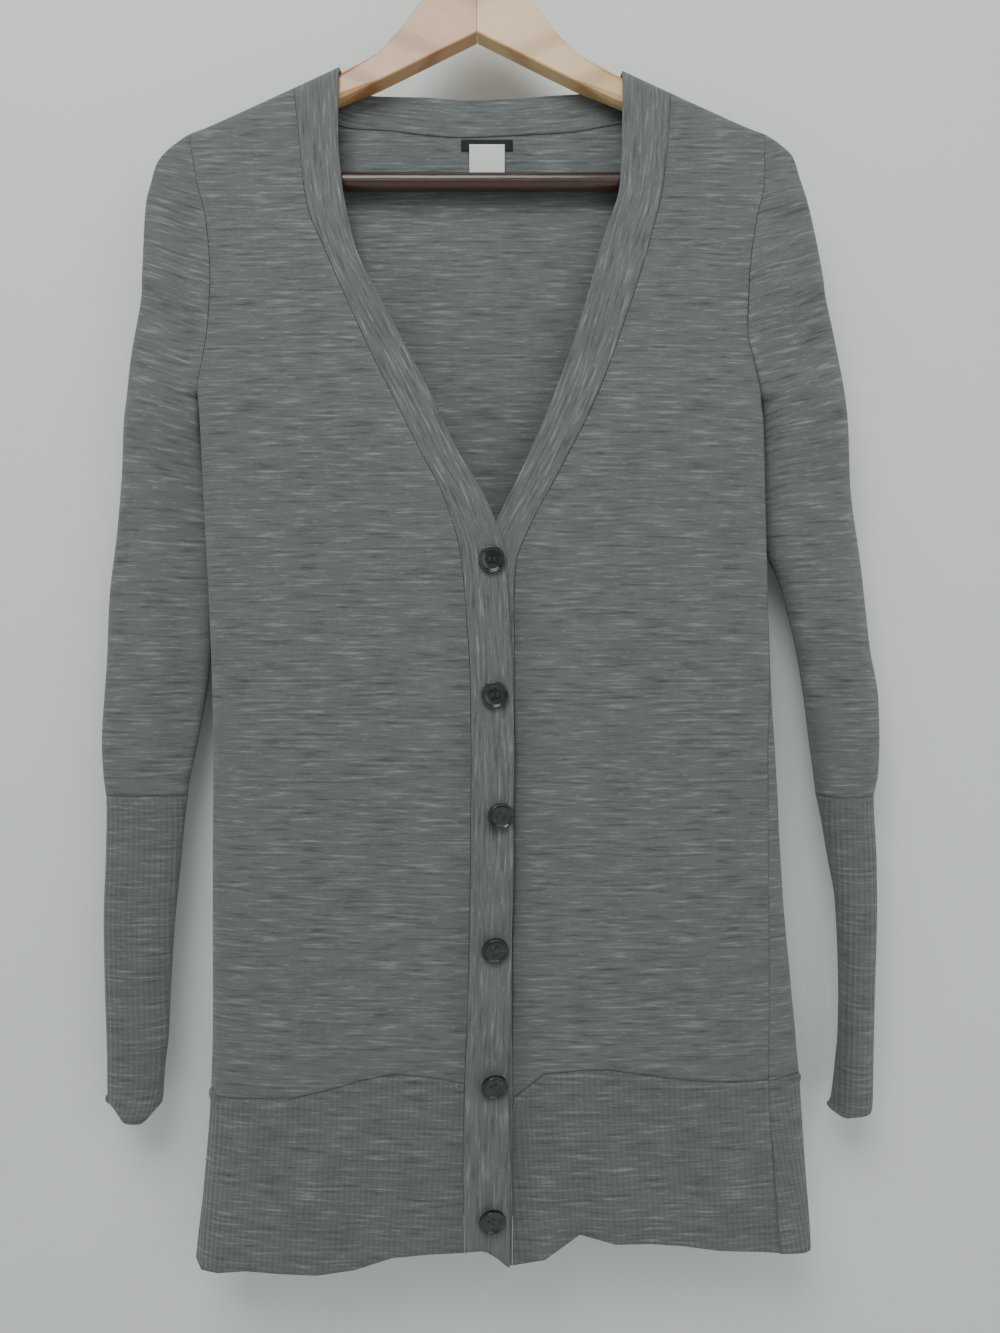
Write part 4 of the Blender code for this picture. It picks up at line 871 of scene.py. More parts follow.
# ---- relief that the finer cloth takes ---------------------------------------------------------
# Soft creases: each runs from a top to a low end, stands out by its rise or sinks where that is
# negative, and dies away at both ends.
CREASES = {
    "front": (
        dict(top=(-0.150, -0.330), low=(-0.158, -0.520), width=0.012, rise=-0.0012),
        dict(top=(-0.120, -0.560), low=(-0.128, -0.770), width=0.016, rise=0.0010),
        dict(top=(-0.060, -0.480), low=(-0.052, -0.760), width=0.018, rise=-0.0009),
        dict(top=(0.060, -0.500), low=(0.070, -0.765), width=0.018, rise=-0.0009),
        dict(top=(0.130, -0.440), low=(0.140, -0.760), width=0.016, rise=0.0010),
        dict(top=(0.172, -0.560), low=(0.176, -0.765), width=0.008, rise=-0.0012),
        dict(top=(-0.165, -0.215), low=(-0.150, -0.300), width=0.010, rise=-0.0012),
        dict(top=(0.168, -0.220), low=(0.155, -0.300), width=0.010, rise=-0.0012),
    ),
    "back": (
        dict(top=(-0.120, -0.300), low=(-0.130, -0.700), width=0.020, rise=-0.0012),
        dict(top=(-0.030, -0.420), low=(-0.040, -0.760), width=0.022, rise=0.0010),
        dict(top=(0.055, -0.380), low=(0.048, -0.740), width=0.020, rise=-0.0010),
        dict(top=(0.130, -0.320), low=(0.145, -0.720), width=0.018, rise=-0.0012),
    ),
}
HEM_FLUTES = (
    dict(x=-0.160, width=0.014, rise=0.0018),
    dict(x=-0.132, width=0.010, rise=-0.0014),
    dict(x=-0.108, width=0.012, rise=0.0016),
    dict(x=-0.075, width=0.012, rise=-0.0016),
    dict(x=-0.040, width=0.013, rise=0.0018),
    dict(x=0.038, width=0.008, rise=0.0030),
    dict(x=0.059, width=0.010, rise=-0.0020),
    dict(x=0.086, width=0.012, rise=0.0016),
    dict(x=0.118, width=0.012, rise=-0.0014),
    dict(x=0.150, width=0.014, rise=0.0016),
    dict(x=0.182, width=0.012, rise=-0.0012),
)
POCKET_RIDGE = 0.0006
POCKET_RIDGE_WIDTH = 0.0013
HEM_RIDGE = 0.0014
HEAD_SLANT = 0.30  # how far the rows of knitting slope across a sleeve's head
BAND_LIFT = 0.0020


def crease_rise(creases, x, z):
    total = np.zeros_like(x)
    for crease in creases:
        (top_x, top_z), (low_x, low_z) = crease["top"], crease["low"]
        down = np.clip((top_z - z) / (top_z - low_z), 0, 1)
        centre = top_x + (low_x - top_x) * down
        fade = smooth_step(0, 0.3, down) * smooth_step(0, 0.3, 1 - down)
        total += crease["rise"] * fade * np.exp(-(((x - centre) / crease["width"]) ** 2))
    return total


def flute_rise(x, down):
    total = np.zeros_like(x)
    for flute in HEM_FLUTES:
        total += flute["rise"] * np.exp(-(((x - flute["x"]) / flute["width"]) ** 2))
    return total * smooth_step(0.1, 1.0, down)


def hem_line_rise(below):
    """The hem seam: a crease on the seam and a rounded ridge just under it."""
    ridge = np.exp(-(((below - 0.0042) / 0.0026) ** 2))
    groove = np.exp(-((below / 0.0016) ** 2))
    return HEM_RIDGE * ridge - 0.5 * HEM_RIDGE * groove


def pocket_rise(side, x, z):
    """The pocket bag's linked edge, which stands out as a fine line on the front."""
    inner = BAG[side].at("inner", z)
    slope = (BAG[side].at("inner", z + 0.0005) - BAG[side].at("inner", z - 0.0005)) / 0.001
    away = (abs(x) - inner) / np.sqrt(1 + slope ** 2)
    here = smooth_step(BAG_ROWS[-1], BAG_ROWS[-1] + 0.01, z) * (z < BAG_ROWS[0])
    return POCKET_RIDGE * here * np.exp(-((away / POCKET_RIDGE_WIDTH) ** 2))


def cloth_rise(name, grid):
    """How far the relief moves each point of a piece out along its normal."""
    x, z = grid[..., 0], grid[..., 2]
    inner = 1.0
    if name.startswith("front"):
        side = RIGHT if name.endswith("right") else LEFT
        below = HEM_SEAM.at("z", x) - z
        return crease_rise(CREASES["front"], x, z) + pocket_rise(side, x, z) + hem_line_rise(below)
    if name == "back":
        across = np.linspace(0, 1, grid.shape[1])
        fade = smooth_step(0, 0.06, across) * smooth_step(0, 0.06, 1 - across)
        return crease_rise(CREASES["back"], x, z) * fade
    if name.startswith("hem"):
        length = abs(grid[:1, :, 2] - z)
        down = length / length[-1:]
        front = name != "hem_back"
        seam_z = HEM_SEAM.at("z", x) if front else grid[:1, :, 2]
        return flute_rise(x, down) * (inner if front else -inner) + hem_line_rise(seam_z - z)
    if name == "band_right":
        lift = np.zeros_like(z)
        for first, second in zip(BUTTONS, BUTTONS[1:]):
            part = (first["z"] - z) / (first["z"] - second["z"])
            lift += np.where((part > 0) & (part < 1), np.sin(math.pi * np.clip(part, 0, 1)) ** 1.5, 0)
        free = np.array(FINE_BAND)[None, :] ** 2
        return BAND_LIFT * lift * free
    return np.zeros_like(x)


# ---- walls of cloth ----------------------------------------------------------------------------
def grid_normals(grids):
    """The outward normal at every point of every grid, summed where pieces meet."""
    total = {}
    keys = {}
    for name, grid in grids.items():
        own = np.zeros_like(grid)
        normal = np.cross(grid[1:, 1:] - grid[:-1, :-1], grid[:-1, 1:] - grid[1:, :-1])
        size = np.linalg.norm(normal, axis=2, keepdims=True)
        normal = normal / np.sqrt(np.maximum(size, 1e-12))
        for rows in (slice(None, -1), slice(1, None)):
            for columns in (slice(None, -1), slice(1, None)):
                own[rows, columns] += normal
        found = [place(point) for point in grid.reshape(-1, 3)]
        keys[name] = found
        for key, value in zip(found, own.reshape(-1, 3)):
            total[key] = total.get(key, 0) + value
    for name, grid in grids.items():
        for key, point in zip(keys[name], grid.reshape(-1, 3)):
            if on_shoulder_line(point):
                total[key] = shoulder_normal(point[0])
    result = {}
    for name, grid in grids.items():
        values = np.array([total[key] for key in keys[name]]).reshape(grid.shape)
        size = np.linalg.norm(values, axis=2, keepdims=True)
        result[name] = values / np.maximum(size, 1e-12)
    return result


def knit_lengths(name, grid):
    """Metres along the rows and down the columns of knitting, at every point."""
    across = np.linalg.norm(np.diff(grid, axis=1), axis=2)
    down = np.linalg.norm(np.diff(grid, axis=0), axis=2)
    middle = grid.shape[1] // 2
    u = np.concatenate([np.zeros((grid.shape[0], 1)), np.cumsum(across, axis=1)], axis=1)
    u -= u[:, middle : middle + 1]
    v = np.concatenate([np.zeros((1, grid.shape[1])), np.cumsum(down, axis=0)], axis=0)
    if name.startswith(("back", "front", "hem", "pocket", "brand", "size")):
        v = -grid[..., 2]
    if name.startswith("sleeve"):
        slant = HEAD_SLANT * smooth_step(-0.50, -0.20, grid[..., 2])
        v = -grid[..., 2] + slant * abs(grid[..., 0])
    return u, v


def knit_piece(name, grid, normals, thickness, material, turned_knit=False):
    """A closed wall: the grid outside, a copy moved inwards, and its edges joined."""
    u, v = knit_lengths(name, grid)
    if turned_knit:
        u, v = v, u
    mesh = bmesh.new()
    layer = mesh.loops.layers.uv.new("knit")
    found, knit_at, normal_of = {}, {}, {}
    rows, columns = grid.shape[:2]
    table = []
    for i in range(rows):
        line = []
        for j in range(columns):
            key = place(grid[i, j])
            if key not in found:
                found[key] = mesh.verts.new(grid[i, j])
                normal_of[found[key]] = Vector(normals[i, j])
            line.append(found[key])
        table.append(line)
    for i in range(rows - 1):
        for j in range(columns - 1):
            corners, uvs = [], []
            for a, b in ((i, j), (i + 1, j), (i + 1, j + 1), (i, j + 1)):
                if table[a][b] not in corners:
                    corners.append(table[a][b])
                    uvs.append((u[a, b], -v[a, b]))
            if len(corners) > 2:
                face = mesh.faces.new(corners)
                for loop, at in zip(face.loops, uvs):
                    loop[layer].uv = at
    mesh.normal_update()
    pulls = {vertex: edge_pull(vertex, SEAM_GAP) for vertex in mesh.verts if vertex.is_boundary}
    outside = list(mesh.faces)
    rim = [edge for edge in mesh.edges if len(edge.link_faces) == 1]
    rim_loops = [edge.link_loops[0] for edge in rim]
    rim_corners = [([k.vert for k in loop.face.loops], loop[layer].uv.copy()) for loop in rim_loops]
    nothing = Vector((0, 0, 0))
    inside = {}
    for vertex, normal in normal_of.items():
        pull = pulls.get(vertex, nothing)
        inside[vertex] = mesh.verts.new(vertex.co + pull - normal * thickness)
        vertex.co += pull
    for face in outside:
        copy = mesh.faces.new([inside[vertex] for vertex in reversed(face.verts)])
        for loop, at in zip(copy.loops, [k[layer].uv.copy() for k in reversed(face.loops)]):
            loop[layer].uv = at
    for edge, (corners, at) in zip(rim, rim_corners):
        first, second = edge.verts
        if corners[(corners.index(first) + 1) % len(corners)] is not second:
            first, second = second, first
        face = mesh.faces.new([second, first, inside[first], inside[second]])
        for loop in face.loops:
            loop[layer].uv = at
    for face in mesh.faces:
        face.smooth = True
    data = bpy.data.meshes.new(name)
    mesh.to_mesh(data)
    mesh.free()
    piece = bpy.data.objects.new(name, data)
    bpy.context.scene.collection.objects.link(piece)
    piece.data.materials.append(material)
    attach(piece, "root")
    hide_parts(name.removesuffix("_knit"))
    return piece


def make_knitwear(body, rib, band):
    flips = ("back", "front_right", "hem_back", "hem_front_right", "sleeve_right", "cuff_right", "band_left")
    grids = {
        "back": back_panel(),
        "front_right": front_panel(RIGHT),
        "front_left": front_panel(LEFT),
        "hem_back": hem_back(),
        "hem_front_right": hem_front(RIGHT),
        "hem_front_left": hem_front(LEFT),
        "sleeve_right": sleeve(RIGHT),
        "sleeve_left": sleeve(LEFT),
        "cuff_right": cuff(RIGHT),
        "cuff_left": cuff(LEFT),
        "band_right": front_band(RIGHT),
        "band_left": front_band(LEFT),
        "neckband_back": neckband(),
    }
    rises = {name: cloth_rise(name, grid) for name, grid in grids.items()}
    for name in flips:
        grids[name] = grids[name][:, ::-1]
        rises[name] = rises[name][:, ::-1]
    normals = grid_normals(grids)
    for name in grids:
        grids[name] = grids[name] + normals[name] * rises[name][..., None]
    normals = grid_normals(grids)
    for name, grid in grids.items():
        bandlike = name.startswith("band") or name == "neckband_back"
        ribbed = name.startswith(("hem", "cuff"))
        material = band if bandlike else rib if ribbed else body
        thickness = BAND_KNIT if bandlike else KNIT
        piece = knit_piece(name + "_knit", grid, normals[name], thickness, material, bandlike)


def make_pocket_bags(material):
    """One layer each, linked to the inside of a front and open at the side seam."""
    for side, name in ((RIGHT, "pocket_bag_right"), (LEFT, "pocket_bag_left")):
        zs = refine(BAG_ROWS, 5)
        xs = [side * np.linspace(float(BAG[side].at("inner", z)), BAG_OUTER[side], 26) for z in zs]
        grid = patch_behind(side, FRONT, xs, zs, KNIT + 2 * SEAM_GAP + 0.0008)
        grid = grid if side == LEFT else grid[:, ::-1]
        normals = grid_normals({name: grid})[name]
        piece = knit_piece(name + "_knit", grid, normals, BAG_KNIT, material, False)


LABELS = (
    dict(name="brand_label", x=(-0.0108, 0.0235), z=(-0.1660, -0.1735), thick=0.0006, depth=0.0003),
    dict(name="size_label", x=(-0.0054, 0.0182), z=(-0.1694, -0.1891), thick=0.0005, depth=0.0012),
)


def make_labels(black, white):
    """Two flat labels one before the other, inside the back just under the neckband's seam."""
    for label, material in zip(LABELS, (black, white)):
        zs = np.linspace(*label["z"], 14)
        xs = [np.linspace(*label["x"], 26) for _ in zs]
        grid = patch_behind(LEFT, BACK, xs, zs, KNIT + label["depth"])[:, ::-1]
        name = label["name"]
        normals = grid_normals({name: grid})[name]
        piece = knit_piece(name + "_knit", grid, normals, label["thick"], material, False)


# ---- pattern groups ------------------------------------------------------------------------------
def new_group(name, inputs, outputs):
    group = bpy.data.node_groups.new(name, "ShaderNodeTree")
    for label, kind, value in inputs:
        socket = group.interface.new_socket(name=label, in_out="INPUT", socket_type=kind)
        if value is not None:
            socket.default_value = value
    for label, kind in outputs:
        group.interface.new_socket(name=label, in_out="OUTPUT", socket_type=kind)
    nodes = group.nodes
    return group, nodes.new("NodeGroupInput"), nodes.new("NodeGroupOutput")


def maths(tree, operation, *values):
    node = tree.nodes.new("ShaderNodeMath")
    node.operation = operation
    for socket, value in zip(node.inputs, values):
        if isinstance(value, (int, float)):
            socket.default_value = value
        else:
            tree.links.new(value, socket)
    return node.outputs[0]


def noise(tree, vector, scale, detail, stretch=(1, 1, 1), roughness=0.5):
    mapping = tree.nodes.new("ShaderNodeMapping")
    mapping.inputs["Scale"].default_value = stretch
    tree.links.new(vector, mapping.inputs["Vector"])
    node = tree.nodes.new("ShaderNodeTexNoise")
    node.inputs["Scale"].default_value = scale
    node.inputs["Detail"].default_value = detail
    node.inputs["Roughness"].default_value = roughness
    tree.links.new(mapping.outputs[0], node.inputs["Vector"])
    return node.outputs["Fac"]


def ramp(tree, value, low, high):
    node = tree.nodes.new("ShaderNodeMapRange")
    node.inputs["From Min"].default_value = low
    node.inputs["From Max"].default_value = high
    tree.links.new(value, node.inputs["Value"])
    return node.outputs["Result"]


def make_stitch_group():
    """Rows of V stitches in metres on the knit's own lengths, with a painted shade: darker between the loops
    and lighter on their crests.
    """
    group, start, end = new_group(
        "knit_stitches",
        [("Lengths", "NodeSocketVector", None), ("Stitch", "NodeSocketFloat", 0.0013)],
        [("Height", "NodeSocketFloat"), ("Shade", "NodeSocketFloat")],
    )
    split = group.nodes.new("ShaderNodeSeparateXYZ")
    group.links.new(start.outputs["Lengths"], split.inputs[0])
    across = maths(group, "DIVIDE", split.outputs["X"], start.outputs["Stitch"])
    along = maths(group, "DIVIDE", split.outputs["Y"], maths(group, "MULTIPLY", start.outputs["Stitch"], 0.8))
    column = maths(group, "ABSOLUTE", maths(group, "SUBTRACT", maths(group, "FRACT", across), 0.5))
    slanted = maths(group, "ADD", along, maths(group, "MULTIPLY", column, 1.2))
    loop = maths(group, "SINE", maths(group, "MULTIPLY", slanted, 2 * math.pi))
    wale = maths(group, "SUBTRACT", 1.0, maths(group, "MULTIPLY", column, 2.0))
    height = maths(group, "ADD", maths(group, "MULTIPLY", wale, 0.7), maths(group, "MULTIPLY", loop, 0.3))
    group.links.new(height, end.inputs["Height"])
    # Shade is painted shade: the ramp of the stitch height darkens the valleys between loops and lightens
    # their crests.
    group.links.new(ramp(group, height, -0.2, 0.9), end.inputs["Shade"])
    return group


def make_heather_group():
    """Light and dark slubs of yarn that run a short way along the rows of knitting."""
    group, start, end = new_group(
        "heather_slubs",
        [("Lengths", "NodeSocketVector", None)],
        [("Light", "NodeSocketFloat"), ("Dark", "NodeSocketFloat"), ("Mottle", "NodeSocketFloat")],
    )
    lengths = start.outputs["Lengths"]
    slub = noise(group, lengths, 1.0, 2.0, (42, 560, 1), 0.55)
    fleck = noise(group, lengths, 1.0, 1.0, (150, 900, 1), 0.5)
    broad = noise(group, lengths, 1.0, 2.0, (14, 95, 1), 0.6)
    specks = maths(group, "MULTIPLY", ramp(group, fleck, 0.62, 0.80), 0.7)
    light = maths(group, "MAXIMUM", ramp(group, slub, 0.56, 0.76), specks)
    dark = ramp(group, slub, 0.46, 0.26)
    group.links.new(light, end.inputs["Light"])
    group.links.new(dark, end.inputs["Dark"])
    group.links.new(broad, end.inputs["Mottle"])
    return group


def make_grain_group():
    """Long growth rings and fine pores along the piece's first axis."""
    group, start, end = new_group(
        "wood_grain",
        [("Along", "NodeSocketVector", None)],
        [("Rings", "NodeSocketFloat"), ("Pores", "NodeSocketFloat")],
    )
    wander = noise(group, start.outputs["Along"], 1.0, 3.0, (6, 30, 30), 0.6)
    split = group.nodes.new("ShaderNodeSeparateXYZ")
    group.links.new(start.outputs["Along"], split.inputs[0])
    up = maths(group, "MULTIPLY", split.outputs["Z"], 170.0)
    through = maths(group, "MULTIPLY", split.outputs["Y"], 120.0)
    depth = maths(group, "ADD", up, through)
    phase = maths(group, "ADD", depth, maths(group, "MULTIPLY", wander, 7.0))
    rings = maths(group, "ADD", maths(group, "MULTIPLY", maths(group, "SINE", phase), 0.5), 0.5)
    pores = ramp(group, noise(group, start.outputs["Along"], 1.0, 2.0, (40, 1400, 1400), 0.6), 0.55, 0.75)
    group.links.new(maths(group, "POWER", rings, 2.0), end.inputs["Rings"])
    group.links.new(pores, end.inputs["Pores"])
    return group


def start_material(name, roughness, **constants):
    material = bpy.data.materials.new(name)
    material.use_nodes = True
    shader = material.node_tree.nodes["Principled BSDF"]
    shader.inputs["Roughness"].default_value = roughness
    for label, value in constants.items():
        shader.inputs[label.replace("_", " ")].default_value = value
    return material, material.node_tree, shader


def mix(tree, factor, first, second):
    node = tree.nodes.new("ShaderNodeMix")
    node.data_type = "RGBA"
    for socket, value in ((node.inputs["Factor"], factor), (node.inputs[6], first), (node.inputs[7], second)):
        if isinstance(value, tuple):
            socket.default_value = (*value, 1.0)
        elif isinstance(value, float):
            socket.default_value = value
        else:
            tree.links.new(value, socket)
    return node.outputs[2]


def bump(tree, shader, height, distance, strength=1.0):
    node = tree.nodes.new("ShaderNodeBump")
    node.inputs["Distance"].default_value = distance
    node.inputs["Strength"].default_value = strength
    tree.links.new(height, node.inputs["Height"])
    tree.links.new(node.outputs["Normal"], shader.inputs["Normal"])


def use_group(tree, group, **links):
    node = tree.nodes.new("ShaderNodeGroup")
    node.node_tree = group
    for label, value in links.items():
        if isinstance(value, float):
            node.inputs[label].default_value = value
        else:
            tree.links.new(value, node.inputs[label])
    return node


def knit_material(name, stitches, heather, base, light, dark, stitch=0.0012, rib=0.0):
    material, tree, shader = start_material(
        name, 0.95, Sheen_Weight=0.25, Sheen_Roughness=0.5, Specular_IOR_Level=0.2
    )
    lengths = tree.nodes.new("ShaderNodeUVMap")
    lengths.uv_map = "knit"
    loops = use_group(tree, stitches, Lengths=lengths.outputs[0], Stitch=stitch)
    slubs = use_group(tree, heather, Lengths=lengths.outputs[0])
    color = mix(tree, slubs.outputs["Light"], base, light)
    color = mix(tree, slubs.outputs["Dark"], color, dark)
    mottled = maths(tree, "ADD", 0.82, maths(tree, "MULTIPLY", slubs.outputs["Mottle"], 0.36))
    # Painted shade from the stitches: the colour drops to 0.88 in their valleys and rises above 1 on their
    # crests. The mottle is a broad random tone of the yarn.
    painted_stitch_shade = maths(tree, "ADD", 0.88, maths(tree, "MULTIPLY", loops.outputs["Shade"], 0.2))
    mottle_and_painted_shade = maths(tree, "MULTIPLY", mottled, painted_stitch_shade)
    height = loops.outputs["Height"]
    if rib:
        split = tree.nodes.new("ShaderNodeSeparateXYZ")
        tree.links.new(lengths.outputs[0], split.inputs[0])
        turns = maths(tree, "SINE", maths(tree, "MULTIPLY", split.outputs["X"], 2 * math.pi / rib))
        height = maths(tree, "ADD", height, maths(tree, "MULTIPLY", turns, 1.1))
        # Painted shade on the rib: the colour is darker in its valleys and lighter on its ridges, following
        # the same turns as the bump.
        mottle_and_painted_shade = maths(tree, "MULTIPLY", mottle_and_painted_shade, maths(tree, "ADD", 0.95, maths(tree, "MULTIPLY", turns, 0.05)))
    node = tree.nodes.new("ShaderNodeMix")
    node.data_type = "RGBA"
    node.blend_type = "MULTIPLY"
    node.inputs["Factor"].default_value = 1.0
    tree.links.new(color, node.inputs[6])
    tree.links.new(mottle_and_painted_shade, node.inputs[7])
    tree.links.new(node.outputs[2], shader.inputs["Base Color"])
    bump(tree, shader, height, 0.00035, 0.8)
    return material


def wood_material(name, grain, light, dark, turn, roughness=0.32, coat=0.35):
    material, tree, shader = start_material(name, roughness, Coat_Weight=coat, Coat_Roughness=0.15)
    place_on = tree.nodes.new("ShaderNodeTexCoord")
    mapping = tree.nodes.new("ShaderNodeMapping")
    mapping.inputs["Rotation"].default_value = (0, turn, 0)
    tree.links.new(place_on.outputs["Object"], mapping.inputs["Vector"])
    marks = use_group(tree, grain, Along=mapping.outputs[0])
    color = mix(tree, marks.outputs["Rings"], light, dark)
    color = mix(tree, maths(tree, "MULTIPLY", marks.outputs["Pores"], 0.35), color, dark)
    tree.links.new(color, shader.inputs["Base Color"])
    bump(tree, shader, marks.outputs["Pores"], 0.0002, 0.3)
    return material


def label_material(name, thread, gap):
    material, tree, shader = start_material(name, 0.7, Sheen_Weight=0.15, Specular_IOR_Level=0.3)
    lengths = tree.nodes.new("ShaderNodeUVMap")
    lengths.uv_map = "knit"
    weave = tree.nodes.new("ShaderNodeTexChecker")
    weave.inputs["Scale"].default_value = 2200
    tree.links.new(lengths.outputs[0], weave.inputs["Vector"])
    wear = noise(tree, lengths.outputs[0], 300.0, 3.0)
    gaps = maths(tree, "MULTIPLY", weave.outputs["Fac"], wear)
    tree.links.new(mix(tree, gaps, thread, gap), shader.inputs["Base Color"])
    bump(tree, shader, weave.outputs["Fac"], 0.0001, 0.5)
    return material


def horn_material():
    material, tree, shader = start_material("black_button", 0.16, Coat_Weight=0.5, Coat_Roughness=0.08)
    place_on = tree.nodes.new("ShaderNodeTexCoord")
    clouds = noise(tree, place_on.outputs["Object"], 260.0, 4.0)
    horn_black, horn_smoke = (0.006, 0.006, 0.007), (0.035, 0.036, 0.040)
    smoke = mix(tree, ramp(tree, clouds, 0.4, 0.75), horn_black, horn_smoke)
    tree.links.new(smoke, shader.inputs["Base Color"])
    scuffs = noise(tree, place_on.outputs["Object"], 1800.0, 2.0)
    dulled = maths(tree, "MULTIPLY", scuffs, 0.16)
    tree.links.new(maths(tree, "ADD", 0.10, dulled), shader.inputs["Roughness"])
    return material


def wire_material():
    material, tree, shader = start_material("hook_wire", 0.25, Metallic=1.0)
    place_on = tree.nodes.new("ShaderNodeTexCoord")
    drawn = noise(tree, place_on.outputs["Object"], 1.0, 3.0, (900, 900, 200))
    tree.links.new(mix(tree, drawn, (0.50, 0.50, 0.51), (0.70, 0.70, 0.71)), shader.inputs["Base Color"])
    tree.links.new(maths(tree, "ADD", 0.18, maths(tree, "MULTIPLY", drawn, 0.2)), shader.inputs["Roughness"])
    return material


def thread_material():
    material, tree, shader = start_material("sewing_thread", 0.6, Sheen_Weight=0.3)
    place_on = tree.nodes.new("ShaderNodeTexCoord")
    twist = noise(tree, place_on.outputs["Object"], 3000.0, 1.0)
    tree.links.new(mix(tree, twist, (0.012, 0.012, 0.013), (0.05, 0.05, 0.052)), shader.inputs["Base Color"])
    return material


# ---- buttons -------------------------------------------------------------------------------------
def select_faces(obj, keep):
    for polygon in obj.data.polygons:
        polygon.select = keep(polygon)


def button_blank():
    """A turned disc with a raised rounded rim, a dished face and four holes."""
    bpy.ops.object.select_all(action="DESELECT")
    middle = (0, 0, BUTTON_THICK / 2)
    bpy.ops.mesh.primitive_cylinder_add(
        vertices=56, radius=BUTTON_RADIUS, depth=BUTTON_THICK, location=middle
    )
    disc = bpy.context.object
    bpy.ops.object.transform_apply(location=True)
    bpy.ops.object.mode_set(mode="EDIT")
    bpy.ops.mesh.select_all(action="DESELECT")
    bpy.ops.mesh.select_mode(type="FACE")
    bpy.ops.object.mode_set(mode="OBJECT")
    select_faces(disc, lambda polygon: polygon.normal.z > 0.9)
    bpy.ops.object.mode_set(mode="EDIT")
    bpy.ops.mesh.inset(thickness=0.0012)
    bpy.ops.mesh.inset(thickness=0.0007)
    bpy.ops.transform.translate(value=(0, 0, -0.0009))
    bpy.ops.mesh.inset(thickness=0.0022)
    bpy.ops.transform.translate(value=(0, 0, -0.00025))
    bpy.ops.mesh.select_all(action="DESELECT")
    bpy.ops.object.mode_set(mode="OBJECT")
    rounding = disc.modifiers.new("rounding", "BEVEL")
    rounding.width = 0.00055
    rounding.segments = 3
    rounding.angle_limit = math.radians(35)
    bpy.ops.object.modifier_apply(modifier="rounding")
    for k in range(4):
        angle = math.radians(45 + 90 * k)
        at = (BUTTON_HOLE_PITCH * math.cos(angle), BUTTON_HOLE_PITCH * math.sin(angle), BUTTON_THICK / 2)
        bpy.ops.mesh.primitive_cylinder_add(
            vertices=20, radius=BUTTON_HOLE_RADIUS, depth=3 * BUTTON_THICK, location=at
        )
        drill = bpy.context.object
        bpy.context.view_layer.objects.active = disc
        bore = disc.modifiers.new("bore", "BOOLEAN")
        bore.operation = "DIFFERENCE"
        bore.solver = "EXACT"
        bore.object = drill
        bpy.ops.object.modifier_apply(modifier="bore")
        bpy.data.objects.remove(drill)
    bpy.ops.object.select_all(action="DESELECT")
    disc.select_set(True)
    bpy.context.view_layer.objects.active = disc
    bpy.ops.object.shade_smooth_by_angle(angle=math.radians(32))
    return disc


def thread_blank():
    """Two bars of thread over the button's face."""
    bars = []
    for side in (-1, 1):
        reach = BUTTON_HOLE_PITCH * math.cos(math.radians(45))
        for strand in (-1, 0, 1):
            bpy.ops.mesh.primitive_cylinder_add(
                vertices=10, radius=0.00022, depth=2 * reach + 0.0006,
                location=(side * reach + strand * 0.00036, 0, 0.75 * BUTTON_THICK - 0.0001 + 0.0001 * (strand == 0)), rotation=(math.pi / 2, 0, 0),
            )
            bars.append(bpy.context.object)
    bpy.ops.object.select_all(action="DESELECT")
    for bar in bars:
        bar.select_set(True)
    bpy.context.view_layer.objects.active = bars[0]
    bpy.ops.object.join()
    bpy.ops.object.transform_apply(location=True, rotation=True, scale=True)
    bpy.ops.object.shade_smooth()
    return bpy.context.object


def make_buttons(face, thread):
    disc, bars = button_blank(), thread_blank()
    for number, facts in enumerate(BUTTONS, 1):
        normal = face_normal(RIGHT, FRONT, facts["x"], facts["z"])
        on_band = Vector(body_point(RIGHT, FRONT, facts["x"], facts["z"]))
        droop = math.radians(facts["droop"])
        lift = BUTTON_RADIUS * math.sin(droop) + SEAM_GAP
        lean = Matrix.Rotation(math.radians(facts["turn"]), 4, "Z") @ Matrix.Rotation(droop, 4, "X")
        upright = Vector((0, 0, 1)).rotation_difference(normal).to_matrix().to_4x4()
        facing = Matrix.Translation(on_band + normal * lift) @ upright @ lean
        disc_part = (disc, f"button_{number}_disc", face)
        thread_part = (bars, f"button_{number}_thread", thread)
        for blank, name, material in (disc_part, thread_part):
            piece = blank.copy()
            piece.data = blank.data.copy()
            piece.name = name
            piece.data.transform(facing)
            bpy.context.scene.collection.objects.link(piece)
            piece.data.materials.clear()
            piece.data.materials.append(material)
            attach(piece, "root")
            if blank is disc:
                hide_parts(f"button_{number}")
    bpy.data.objects.remove(disc)
    bpy.data.objects.remove(bars)


# ---- hanger --------------------------------------------------------------------------------------
def finish_hanger(grain, wire):
    red = wood_material("reddish_wood", grain, (0.62, 0.335, 0.15), (0.42, 0.185, 0.07), math.radians(-25))
    yellow = wood_material("yellowish_wood", grain, (0.74, 0.49, 0.24), (0.56, 0.31, 0.125), math.radians(25))
    dark = wood_material("bar_wood", grain, (0.060, 0.022, 0.014), (0.022, 0.009, 0.007), 0.0, 0.28)
    finishes = {
        "hanger_yoke_right": red, "hanger_yoke_left": yellow, "hanger_bar": dark, "hanger_hook": wire
    }
    for name, material in finishes.items():
        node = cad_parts[name]
        node.data.materials.clear()
        node.data.materials.append(material)


# ---- stage ---------------------------------------------------------------------------------------
CAMERA_X = 0.01495
CAMERA_Y = -0.65
CAMERA_Z = -0.5132
LENS = 27.0
WALL_Y = 0.045
FLOOR_Z = -1.02


